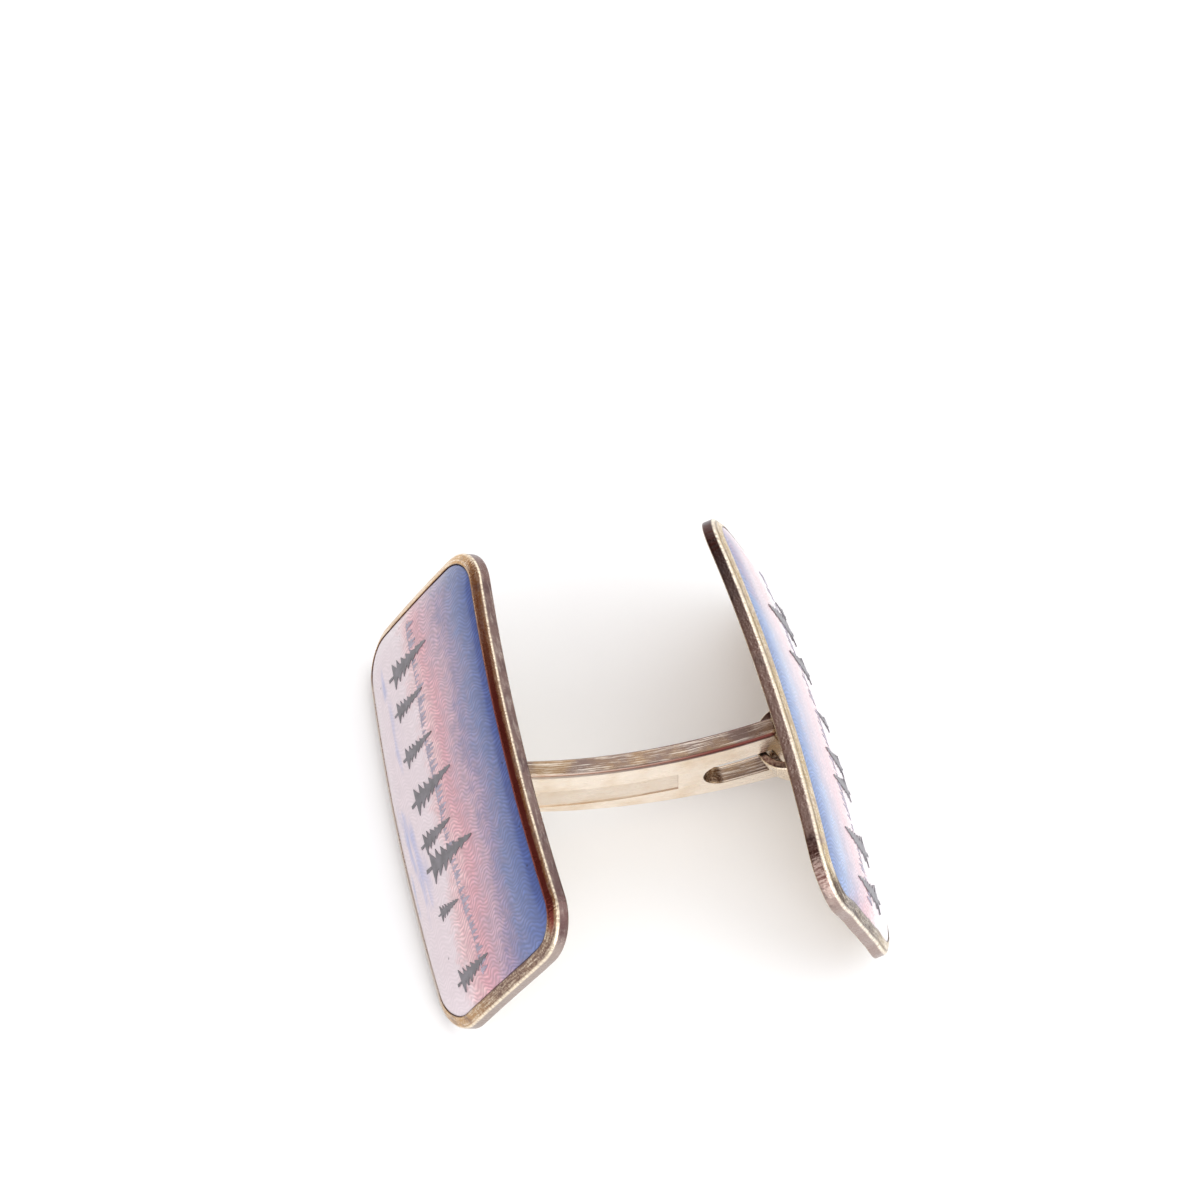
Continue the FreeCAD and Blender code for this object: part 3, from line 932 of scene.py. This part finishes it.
@dataclass(frozen=True)
class Fold:
    """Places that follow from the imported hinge: the lean of the plates and the middles of their backs."""

    hinge: Vector
    lean: float
    hinge_reach: float = 1.124
    toggle_turn: float = 2.6

    @classmethod
    def read(cls, joint: dict[str, Any]) -> "Fold":
        """Takes the hinge from the frame.

        Args:
            joint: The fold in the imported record.

        Returns:
            The places.
        """
        axis = Vector(joint["axis"]).normalized()
        return cls(Vector(joint["pos_m"]) / MM, math.atan2(-axis.x, axis.z))

    def plate_matrix(self, side: Side) -> Matrix:
        """Place of a plate: its own +X runs out through the enamel, +Y along it, +Z up.

        Args:
            side: Front or toggle.

        Returns:
            Matrix from the plate's millimetres to the frame's metres.
        """
        out = Vector((math.cos(self.lean), 0, math.sin(self.lean)))
        middle = self.hinge + self.hinge_reach * out
        scale = Matrix.Scale(MM, 4)
        if side is Side.FRONT:
            turn = Matrix.Rotation(self.lean, 4, "Y") @ Matrix.Rotation(math.pi, 4, "Z")
            return scale @ Matrix.Translation((-middle.x, 0, middle.z)) @ turn
        reach = Matrix.Translation((-self.hinge_reach, 0, 0))
        turn = reach @ Matrix.Rotation(math.radians(self.toggle_turn), 4, "Z") @ reach.inverted()
        return scale @ Matrix.Translation(middle) @ Matrix.Rotation(-self.lean, 4, "Y") @ turn


@dataclass
class EnamelledPlate:
    """One struck plate: its metal tray and the enamel in it."""

    side: Side
    matrix: Matrix
    seed: int
    dents: tuple[Triple, ...]
    corner: float = 2.2
    corner_least: float = 0.35
    floor_wall: float = 0.42
    edge_round: float = 0.09
    rim_soft: float = 0.01
    rim_flat: float = 0.05
    rim_lip: float = 0.02
    enamel_low: float = 0.03
    enamel_run: float = 1.7
    enamel_steps: float = 1.4
    enamel_round: float = 3.0
    wobble: float = 0.05
    wall_share: float = 0.5
    arris_share: float = 0.6
    bevel_share: float = 0.7
    rim_share: float = 0.8
    inmost: float = 0.04
    points_long: int = 150
    points_short: int = 60
    points_corner: int = 14
    # Rings round the back's edge by their angles, and on the arris and the bevel by their shares.
    edge_angles: tuple[float, ...] = (0.0, 30.0, 60.0, 90.0)
    arris_steps: tuple[float, ...] = (0.0, 0.35, 0.7, 1.0)
    bevel_steps: tuple[float, ...] = (0.35, 0.55, 0.75, 0.92)
    rings_wall: int = 4
    rings_back: int = 18
    rings_floor: int = 6
    rings_under: int = 4
    rings_rise: int = 14
    rings_glass: int = 26

    def outline(self, inset: float) -> np.ndarray:
        """Rounded oblong, drawn in from the plate's edge.

        Args:
            inset: Distance from the edge.

        Returns:
            Points along and across the plate, evenly matched between insets, from the middle of one end.
        """
        half_y, half_z = PLATE_LENGTH / 2 - inset, PLATE_WIDTH / 2 - inset
        radius = min(max(self.corner - inset, self.corner_least * half_z), half_z)
        flat_y, flat_z = half_y - radius, half_z - radius
        rise = np.linspace(0, flat_z, self.points_short // 2, endpoint=False)
        angles = np.linspace(0, math.pi / 2, self.points_corner, endpoint=False)
        run = np.linspace(flat_y, 0, self.points_long // 2, endpoint=False)
        quarter = np.concatenate([
            np.stack([np.full_like(rise, half_y), rise], 1),
            np.stack([flat_y + radius * np.cos(angles), flat_z + radius * np.sin(angles)], 1),
            np.stack([run, np.full_like(run, half_z)], 1),
        ])
        half = np.concatenate([quarter, [[0, half_z]], quarter[:0:-1] * (-1, 1)])
        return np.concatenate([half, half[:1] * (-1, 1), half[:0:-1] * (1, -1)])

    def loft(self, name: str, profile: Profile, seed: int) -> Mesh:
        """Closed shell from rings that follow the plate's outline.

        Args:
            name: Name of the mesh.
            profile: Inset, height over the back's crown, and share of the hand-made unevenness, ring by ring
                from the middle of the back round the edge to the middle of the front.
            seed: Seed of the unevenness.

        Returns:
            Mesh in the frame, with its own coordinates kept as attributes.
        """
        base = self.outline(0)
        steps = np.linalg.norm(np.diff(base, axis=0, append=base[:1]), axis=1)
        way = np.concatenate([[0], np.cumsum(steps)[:-1]])
        uneven = waver(way / steps.sum(), self.wobble, seed)
        for at, reach, depth in self.dents:
            uneven = uneven + depth * np.exp(-((way - at) / reach) ** 2)
        places, edges = [], []
        for inset, height, share in profile:
            ring = self.outline(inset)
            towards = self.outline(inset + self.wobble) - ring
            ring = ring + towards * (uneven / self.wobble * share)[:, None]
            depth = np.sqrt((CROWN + height) ** 2 - (ring ** 2).sum(1)) - CROWN
            places.append(np.column_stack([depth, ring]))
            edges.append(np.column_stack([way, np.full_like(way, height), np.full_like(way, inset)]))
        count, half = len(base), len(base) // 2
        faces = ring_faces(count, len(profile))
        for start in (0, (len(profile) - 1) * count):
            faces += [(start + i, start + i + 1, start + count - i - 1, start + count - i)
                      for i in range(1, half - 1)]
            faces += [(start, start + 1, start + count - 1),
                      (start + half - 1, start + half, start + half + 1)]
        local = np.concatenate(places)
        mesh = closed_mesh(name, local, faces, self.matrix)
        keep(mesh, PLATE_PLACE, local)
        keep(mesh, EDGE_PLACE, np.concatenate(edges))
        return mesh

    def crown_rings(self, start: float, height: float, count: int) -> Profile:
        """Rings of a crowned face from near its middle out to an inset.

        Args:
            start: Inset of the outermost ring.
            height: Height over the back's crown.
            count: Number of rings.

        Returns:
            Profile entries from the middle outwards.
        """
        inmost = PLATE_WIDTH / 2 - self.inmost
        return [(inmost + (start - inmost) * s, height, 0.0) for s in np.linspace(0, 1, count)]

    def metal_profile(self) -> Profile:
        """Section of the tray: crowned back, rounded edge, wall, arris, bevelled rim and sunk floor.

        Returns:
            Profile entries from the middle of the back to the middle of the floor.
        """
        turn, rise = self.edge_round, RIM_TOP - EDGE_WALL
        slope = math.atan2(rise, RIM_BEVEL)
        profile = self.crown_rings(3 * turn, 0.0, self.rings_back)
        for angle in np.radians(self.edge_angles):
            profile.append((turn * (1 - math.sin(angle)), turn * (1 - math.cos(angle)), self.wall_share))
        for height in np.linspace(2 * turn, EDGE_WALL - 1.2 * turn, self.rings_wall):
            profile.append((0.0, height, self.wall_share))
        for share in self.arris_steps:
            before, past = 0.6 * turn * (1 - share) ** 2, 0.8 * turn * share ** 2
            height = EDGE_WALL - before + past * math.sin(slope)
            profile.append((past * math.cos(slope), height, self.arris_share))
        for share in self.bevel_steps:
            profile.append((RIM_BEVEL * share, EDGE_WALL + rise * share, self.bevel_share))
        profile += [
            (RIM_BEVEL, RIM_TOP - self.rim_soft, self.rim_share),
            (RIM_BEVEL + self.rim_flat, RIM_TOP, self.rim_share),
            (RIM_WIDTH - self.rim_lip, RIM_TOP - self.rim_soft, self.rim_share),
            (RIM_WIDTH, RIM_TOP - self.rim_flat, self.rim_share),
            (RIM_WIDTH, self.floor_wall, 0.0),
        ]
        return profile + self.crown_rings(2 * RIM_WIDTH, self.floor_wall, self.rings_floor)[::-1]

    def enamel_profile(self) -> Profile:
        """Section of the enamel: underside, side, soft rise from the rim, and the crowned face.

        Returns:
            Profile entries from the middle of the underside to the middle of the face.
        """
        rise = GLASS_TOP - RIM_TOP + self.enamel_low
        profile = self.crown_rings(2 * RIM_WIDTH, self.floor_wall, self.rings_under)
        profile.append((RIM_WIDTH, self.floor_wall, 0.0))
        profile.append((RIM_WIDTH, GLASS_TOP - rise - self.rim_flat, self.rim_share))
        for share in np.linspace(0, 1, self.rings_rise) ** self.enamel_steps:
            height = GLASS_TOP - rise * (1 - share) ** self.enamel_round
            profile.append((RIM_WIDTH + self.enamel_run * share, height, self.rim_share * (1 - share)))
        face = self.crown_rings(RIM_WIDTH + 1.15 * self.enamel_run, GLASS_TOP, self.rings_glass)
        return profile + face[::-1]

    def build(self, metal: Material, enamel: Material) -> list[Piece]:
        """Makes the tray and the enamel and lets them stand for the frame's solids.

        Args:
            metal: Finish of the tray.
            enamel: Finish of the enamel.

        Returns:
            The two pieces.
        """
        body = self.side.value
        tray_name, glass_name = body + "_tray", body + "_field"
        tray = link_mesh(self.loft(tray_name, self.metal_profile(), self.seed), tray_name, metal)
        glass = link_mesh(self.loft(glass_name, self.enamel_profile(), self.seed + 1), glass_name, enamel)
        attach(tray, body)
        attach(glass, body)
        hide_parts(body + "_plate")
        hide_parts(body + "_enamel")
        return [tray, glass]


@dataclass
class SolderSeam:
    """Solder that ran into the corner between a plate's back and the foot that stands on it."""

    side: Side
    node: str
    half_y: float
    half_z: float
    middle_y: float
    middle_z: float
    corner: float = 0.13
    leg: float = 0.33
    shrink: float = 0.35
    rooted: float = 0.06
    overlap: float = 0.04
    lip: float = 0.01
    seed: int = 5
    steps: int = 12
    points_side: int = 20
    points_corner: int = 8

    def section(self, offset: np.ndarray) -> np.ndarray:
        """Rounded oblong round the foot, grown by its own offset at each point.

        Args:
            offset: Growth of every point.

        Returns:
            Points in the plate's Y and Z.
        """
        flat_y, flat_z = self.half_y - self.corner, self.half_z - self.corner
        corners = np.array([(flat_y, flat_z), (-flat_y, flat_z), (-flat_y, -flat_z), (flat_y, -flat_z)])
        points, angles = [], []
        for k in range(4):
            here, after = corners[k], corners[(k + 1) % 4]
            first, last = k * math.pi / 2, (k + 1) * math.pi / 2
            points += [here] * self.points_corner
            angles += list(np.linspace(first, last, self.points_corner))
            shares = np.linspace(0, 1, self.points_side + 2)[1:-1]
            points += [(1 - share) * here + share * after for share in shares]
            angles += [last] * self.points_side
        normals = np.column_stack([np.cos(angles), np.sin(angles)])
        return np.array(points) + normals * (self.corner + offset)[:, None] + (self.middle_y, self.middle_z)

    def build(self, matrix: Matrix, material: Material) -> Piece:
        """Makes the hollow seam and lets it stand for the frame's sloped collar.

        Args:
            matrix: Place of the plate that carries the seam.
            material: Finish of the solder.

        Returns:
            The piece.
        """
        count = 4 * (self.points_corner + self.points_side)
        legs = self.leg - waver(np.linspace(0, 1, count, endpoint=False), self.shrink * self.leg, self.seed)
        rings = [(legs, np.full(count, self.rooted))]
        for angle in np.linspace(0, math.pi / 2, self.steps):
            rings.append((legs * (1 - math.sin(angle)), -legs * (1 - math.cos(angle))))
        rings.append((np.full(count, -self.overlap), -legs - self.lip))
        places = []
        for offset, depth in rings:
            ring = self.section(offset)
            seat = np.sqrt(CROWN ** 2 - (ring ** 2).sum(1)) - CROWN
            places.append(np.column_stack([seat + depth, ring]))
        last = (len(rings) - 1) * count
        faces = [tuple(range(count)), tuple(range(last, last + count))] + ring_faces(count, len(rings))
        name = self.node + "_seam"
        piece = link_mesh(closed_mesh(name, np.concatenate(places), faces, matrix), name, material)
        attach(piece, self.side.value)
        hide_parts(self.node)
        return piece


@dataclass
class FirStand:
    """Row of fir trees, brushed across an enamel field and fired on, a little proud of it.

    The geometry tree takes its sizes from the fields that its inputs are named for.
    """

    name: str
    side: Side
    seed: int
    count: int = 8
    run: float = 15.0
    ground: float = -2.6
    roll: float = 0.5
    roll_size: float = 4.0
    low: float = 1.5
    high: float = 4.2
    height_seed: float = 17.0
    scatter: float = 0.8
    lean: float = 0.07
    brush: float = 0.16
    stroke_size: float = 0.25
    crown: float = CROWN
    face: float = GLASS_TOP
    proud: float = 0.035
    sunk: float = 0.05
    tiers: int = 7
    slender: float = 0.19
    trunk: float = 0.1
    root: float = 0.03
    root_half: float = 0.02
    trunk_half: float = 0.018
    tip_half: float = 0.004
    taper: float = 0.85
    sag: float = 0.25
    # Rows of points on each tier: rise in the tier, share of its width and unevenness of its sides.
    tier_rows: tuple[Triple, ...] = ((0.05, 1.0, 0.3), (0.45, 0.6, 0.15), (0.95, 0.3, 0.1))

    def silhouette(self) -> Mesh:
        """One fir of unit height as a thin closed strip: trunk, uneven tiers of boughs and the tip.

        Returns:
            Mesh in the plate's X, Y and Z.
        """
        draw = np.random.RandomState(self.seed)
        step = (1 - self.trunk) / self.tiers
        rows = [(-self.root, -self.root, self.root_half, self.root_half),
                (self.trunk, self.trunk, self.trunk_half, self.trunk_half)]
        for tier in range(self.tiers):
            base = self.trunk + step * tier
            half = self.slender * (1 - tier / self.tiers) ** self.taper
            for rise, share, spread in self.tier_rows:
                left, right = half * share * (1 + spread * (draw.rand(2) - 0.5))
                sag = self.sag * step * (draw.rand(2) - 0.5) * (share == 1.0)
                rows.append((*(base + step * rise + sag), left, right))
        rows.append((1.0, 1.0, self.tip_half, self.tip_half))
        points = []
        for left_z, right_z, left, right in rows:
            ends = ((-left, left_z), (right, right_z))
            points += [(x, y, z) for x in (-self.sunk, self.proud) for y, z in ends]
        last = len(points) - 4
        faces = [(0, 2, 3, 1), (last, last + 1, last + 3, last + 2)]
        for a in range(0, last, 4):
            faces += [(a + i, a + j, a + j + 4, a + i + 4) for i, j in ((0, 1), (1, 3), (3, 2), (2, 0))]
        mesh = bpy.data.meshes.new(self.name + "_silhouette")
        mesh.from_pydata(points, [], faces)
        return mesh

    def node_group(self) -> Tree:
        """Geometry tree that plants the silhouette in a row, roughens its strokes and bends it to the crown.

        Returns:
            The tree, with this stand's sizes as named inputs.
        """
        tree = bpy.data.node_groups.new(self.name, "GeometryNodeTree")
        sockets = {"Silhouette": "Geometry", "Count": "Int", "Seed": "Int", "Paint": "Material"}
        for label in ("Run", "Ground", "Roll", "Low", "High", "Scatter", "Lean", "Brush", "Crown", "Face"):
            sockets[label] = "Float"
        for label, kind in sockets.items():
            tree.interface.new_socket(label, in_out="INPUT", socket_type="NodeSocket" + kind)
        tree.interface.new_socket("Geometry", in_out="OUTPUT", socket_type="NodeSocketGeometry")
        given = add(tree, "NodeGroupInput").node.outputs
        place = add(tree, "GeometryNodeInputPosition")
        firs = self.planted(tree, given, place)
        stroke = noise(tree, place, self.stroke_size, detail=2.0)
        shake = add(tree, "VectorMath", {0: stroke.node.outputs["Color"], 1: (0.5, 0.5, 0.5)},
                    operation="SUBTRACT")
        width = add(tree, "VectorMath", {0: shake, "Scale": given["Brush"]}, operation="SCALE")
        flat = add(tree, "VectorMath", {0: width, 1: (0.0, 1.0, 1.0)}, operation="MULTIPLY")
        brushed = add(tree, "GeometryNodeSetPosition", {"Geometry": firs, "Offset": flat})
        out = self.crowned(tree, given, place)
        bent = add(tree, "GeometryNodeSetPosition", {"Geometry": brushed, "Offset": out})
        kept = add(tree, "GeometryNodeStoreNamedAttribute",
                   {"Geometry": bent, "Name": PLATE_PLACE, "Value": place},
                   data_type="FLOAT_VECTOR", domain="POINT")
        painted = add(tree, "GeometryNodeSetMaterial", {"Geometry": kept, "Material": given["Paint"]})
        add(tree, "NodeGroupOutput", {"Geometry": painted})
        return tree

    def planted(self, tree: Tree, given: Any, place: Socket) -> Socket:
        """Firs of uneven height and lean along a rolling ground line, as real meshes.

        Args:
            tree: Tree of the stand.
            given: Inputs of the tree by name.
            place: Position of each point.

        Returns:
            Geometry of the flat row.
        """
        first = calculate(tree, "MULTIPLY", given["Run"], -0.5)
        last = calculate(tree, "MULTIPLY", given["Run"], 0.5)
        start = add(tree, "CombineXYZ", {"Y": first, "Z": given["Ground"]})
        stop = add(tree, "CombineXYZ", {"Y": last, "Z": given["Ground"]})
        line = add(tree, "GeometryNodeMeshLine",
                   {"Count": given["Count"], "Start Location": start, "Offset": stop}, mode="END_POINTS")
        slow = noise(tree, place, self.roll_size, detail=1.0, layer=given["Seed"])
        level = calculate(tree, "SUBTRACT", slow, 0.5)
        rolled = calculate(tree, "MULTIPLY", level, given["Roll"])
        left = calculate(tree, "MULTIPLY", given["Scatter"], -1.0)
        aside = add(tree, "FunctionNodeRandomValue",
                    {"Min": left, "Max": given["Scatter"], "Seed": given["Seed"]}, data_type="FLOAT")
        moved = add(tree, "CombineXYZ", {"Y": aside, "Z": rolled})
        points = add(tree, "GeometryNodeSetPosition", {"Geometry": line, "Offset": moved})
        other = calculate(tree, "ADD", given["Seed"], self.height_seed)
        tall = add(tree, "FunctionNodeRandomValue",
                   {"Min": given["Low"], "Max": given["High"], "Seed": other}, data_type="FLOAT")
        size = add(tree, "CombineXYZ", {"X": 1.0, "Y": tall, "Z": tall})
        back = calculate(tree, "MULTIPLY", given["Lean"], -1.0)
        tilt = add(tree, "FunctionNodeRandomValue",
                   {"Min": back, "Max": given["Lean"], "Seed": given["Seed"]}, data_type="FLOAT")
        turned = add(tree, "CombineXYZ", {"X": tilt})
        firs = add(tree, "GeometryNodeInstanceOnPoints",
                   {"Points": points, "Instance": given["Silhouette"], "Rotation": turned, "Scale": size})
        return add(tree, "GeometryNodeRealizeInstances", {"Geometry": firs})

    def crowned(self, tree: Tree, given: Any, place: Socket) -> Socket:
        """Offset that lifts each point from the flat to the crown of the enamel.

        Args:
            tree: Tree of the stand.
            given: Inputs of the tree by name.
            place: Position of each point.

        Returns:
            Offset along the plate's X.
        """
        axes = add(tree, "SeparateXYZ", {"Vector": place}).node.outputs
        along = calculate(tree, "POWER", axes["Y"], 2.0)
        both = calculate(tree, "MULTIPLY_ADD", axes["Z"], axes["Z"], along)
        radius = calculate(tree, "ADD", given["Crown"], given["Face"])
        square = calculate(tree, "MULTIPLY", radius, radius)
        rest = calculate(tree, "SUBTRACT", square, both)
        root = calculate(tree, "SQRT", rest)
        depth = calculate(tree, "SUBTRACT", root, given["Crown"])
        return add(tree, "CombineXYZ", {"X": depth})

    def build(self, matrix: Matrix, paint: Material) -> Piece:
        """Grows the row, turns it to a plain mesh in the frame and lets it ride with its plate.

        Args:
            matrix: Place of the plate.
            paint: Overglaze paint.

        Returns:
            The finished piece.
        """
        planter = link_mesh(self.silhouette(), self.name + "_planter", paint)
        grower = planter.modifiers.new("grower", "NODES")
        grower.node_group = self.node_group()
        for item in grower.node_group.interface.items_tree:
            if item.name == "Paint":
                grower[item.identifier] = paint
            elif item.socket_type != "NodeSocketGeometry":
                grower[item.identifier] = getattr(self, item.name.lower())
        graph = bpy.context.evaluated_depsgraph_get()
        mesh = bpy.data.meshes.new_from_object(planter.evaluated_get(graph))
        bpy.data.objects.remove(planter)
        mesh.transform(matrix)
        face_out(mesh)
        piece = link_mesh(mesh, self.name, paint)
        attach(piece, self.side.value)
        return piece


@dataclass
class Studio:
    """Pale floor, soft lights and the camera at the photograph's place."""

    yaw: float = 22.173
    pitch: float = 59.943
    roll: float = 11.012
    distance: float = 164.12
    shift_right: float = 1.433
    shift_up: float = -7.197
    focal_px: float = 3690.0
    sensor: float = 36.0
    aim_height: float = 5.02
    floor_size: float = 20000.0
    floor_colour: str = "#f9fbfd"
    light_distance: float = 220.0
    light_size: float = 200.0
    # Soft boxes: name, way to the box, power in watts and share of the size.
    boxes: tuple[tuple[str, Triple, float, float], ...] = (
        ("key_box", (-0.55, -0.75, 0.9), 0.15, 1.2),
        ("fill_box", (0.95, -0.3, 0.75), 0.08, 1.0),
        ("back_box", (0.1, 0.95, 0.8), 0.08, 1.2),
        ("front_box", (0.15, -1.0, 0.4), 0.17, 1.0),
    )
    surround: float = 1.16
    surround_colour: str = "#ffffff"
    card_colour: str = "#846a62"
    # Cards in the surround: way to the card, and the cosines at which it starts and is full.
    cards: tuple[tuple[Triple, float, float], ...] = (
        ((-0.76, 0.46, 0.46), 0.72, 0.93),
        ((-0.19, -0.46, 0.87), 0.9, 0.98),
    )

    def place_camera(self) -> None:
        """Places the camera from its turn, its distance and its shift off the object's middle."""
        yaw, pitch, roll = (math.radians(angle) for angle in (self.yaw, self.pitch, self.roll))
        level = Vector((math.cos(yaw), -math.sin(yaw), 0))
        flat = math.cos(pitch)
        forward = Vector((math.sin(yaw) * flat, math.cos(yaw) * flat, -math.sin(pitch)))
        upright = level.cross(forward)
        right = math.cos(roll) * level + math.sin(roll) * upright
        up = -math.sin(roll) * level + math.cos(roll) * upright
        aim = Vector((0, 0, self.aim_height))
        place = aim - self.shift_right * right - self.shift_up * up - self.distance * forward
        data = bpy.data.cameras.new("photo_camera")
        data.sensor_width = self.sensor
        data.lens = self.focal_px / IMAGE_SIDE_PX * self.sensor
        data.clip_start = 1 * MM
        data.clip_end = 10 * self.floor_size * MM
        camera = bpy.data.objects.new("photo_camera", data)
        bpy.context.scene.collection.objects.link(camera)
        turn = Matrix((right, up, -forward)).transposed().to_4x4()
        camera.matrix_world = Matrix.Translation(place * MM) @ turn
        bpy.context.scene.camera = camera

    def lay_floor(self) -> None:
        """Lays a plain pale floor under the cufflink."""
        half = self.floor_size * MM / 2
        mesh = bpy.data.meshes.new("floor")
        corners = [(-half, -half, 0), (half, -half, 0), (half, half, 0), (-half, half, 0)]
        mesh.from_pydata(corners, [], [(0, 1, 2, 3)])
        material, tree, shader = new_material("pale_paper")
        paper = {"Base Color": linear(self.floor_colour), "Roughness": 0.9, "Specular IOR Level": 0.1}
        connect(tree, shader, paper)
        link_mesh(mesh, "floor", material)

    def hang_lights(self) -> None:
        """Hangs the soft boxes round the cufflink, each turned to it."""
        for name, way, power, share in self.boxes:
            data = bpy.data.lights.new(name, "AREA")
            data.shape = "DISK"
            data.size = self.light_size * share * MM
            data.energy = power
            lamp = bpy.data.objects.new(name, data)
            bpy.context.scene.collection.objects.link(lamp)
            place = Vector(way).normalized() * self.light_distance * MM
            lamp.location = place
            lamp.rotation_euler = (-place).to_track_quat("-Z", "Y").to_euler()

    def light_surround(self) -> None:
        """Makes a white surround with two warm cards that the metal and the gloss reflect."""
        world = bpy.data.worlds.new("studio_surround")
        world.use_nodes = True
        tree = world.node_tree
        way = add(tree, "TexCoord").node.outputs["Generated"]
        shades = []
        for card, first, last in self.cards:
            facing = add(tree, "VectorMath", {0: way, 1: Vector(card).normalized()}, operation="DOT_PRODUCT")
            shades.append(ramp(tree, facing, first, last, smooth=True))
        both = calculate(tree, "MAXIMUM", shades[0], shades[1])
        colour = layered(tree, self.surround_colour, (self.card_colour, both))
        connect(tree, tree.nodes["Background"], {"Color": colour, "Strength": self.surround})
        bpy.context.scene.world = world
        bpy.context.scene.view_settings.view_transform = "Standard"

    def build(self) -> None:
        """Sets up floor, lights, surround and camera."""
        self.lay_floor()
        self.hang_lights()
        self.light_surround()
        self.place_camera()


def fir_stands(side: Side) -> list[tuple[FirStand, OverglazePaint]]:
    """The two rows of firs on one field: a low pale one far off and a tall grey one in front.

    Args:
        side: Front or toggle.

    Returns:
        Each row with its paint.
    """
    seed = FIR_SEEDS[side]
    far = FirStand(side.value + "_far_firs", side, seed + 20, count=64, run=17.0, ground=-0.75, roll=0.9,
                   low=0.3, high=0.75, scatter=0.1, tiers=3, slender=0.28, brush=0.08, proud=0.012)
    near = FirStand(side.value + "_near_firs", side, seed)
    return [(far, FAR_PAINT), (near, NEAR_PAINT)]


def solder_seams() -> list[SolderSeam]:
    """The seam at the bar's foot and the two at the staple's legs.

    Returns:
        Seams round the feet's own sections on the plates' backs.
    """
    seams = [SolderSeam(Side.FRONT, "bar_solder", half_y=0.42, half_z=1.604, middle_y=0.0, middle_z=0.376)]
    for label, place, seed in (("near", -1.4, 6), ("far", 1.4, 7)):
        seams.append(SolderSeam(Side.TOGGLE, "staple_solder_" + label, half_y=0.2, half_z=0.8,
                                middle_y=place, middle_z=-0.439, corner=0.09, seed=seed))
    return seams


def main() -> None:
    """Builds the cufflink's pieces in order and dresses the frame."""
    logging.basicConfig(level=logging.INFO, format="%(name)s: %(message)s")
    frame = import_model()
    fold = Fold.read(frame["joints"][0])
    places = {side: fold.plate_matrix(side) for side in Side}
    pieces = []
    for side in Side:
        plate = EnamelledPlate(side, places[side], PLATE_SEEDS[side], DENTS[side])
        pieces += plate.build(METALS[side].material(), ENAMELS[side].material())
    paints = {finish: finish.material() for finish in (NEAR_PAINT, FAR_PAINT)}
    for side in Side:
        pieces += [stand.build(places[side], paints[finish]) for stand, finish in fir_stands(side)]
    solder = SilverSolder().material()
    pieces += [seam.build(places[seam.side], solder) for seam in solder_seams()]
    for piece in pieces:
        LOG.info("built %s with %d faces", piece.name, len(piece.data.polygons))
    for name, finish in (("bridge_bar", PaleGilt()), ("toggle_staple", BowedGilt())):
        material = finish.material()
        for slot in frame["nodes"][name].material_slots:
            slot.material = material
        LOG.info("dressed %s in %s", name, material.name)
    Studio().build()


if __name__ == "__main__":
    main()
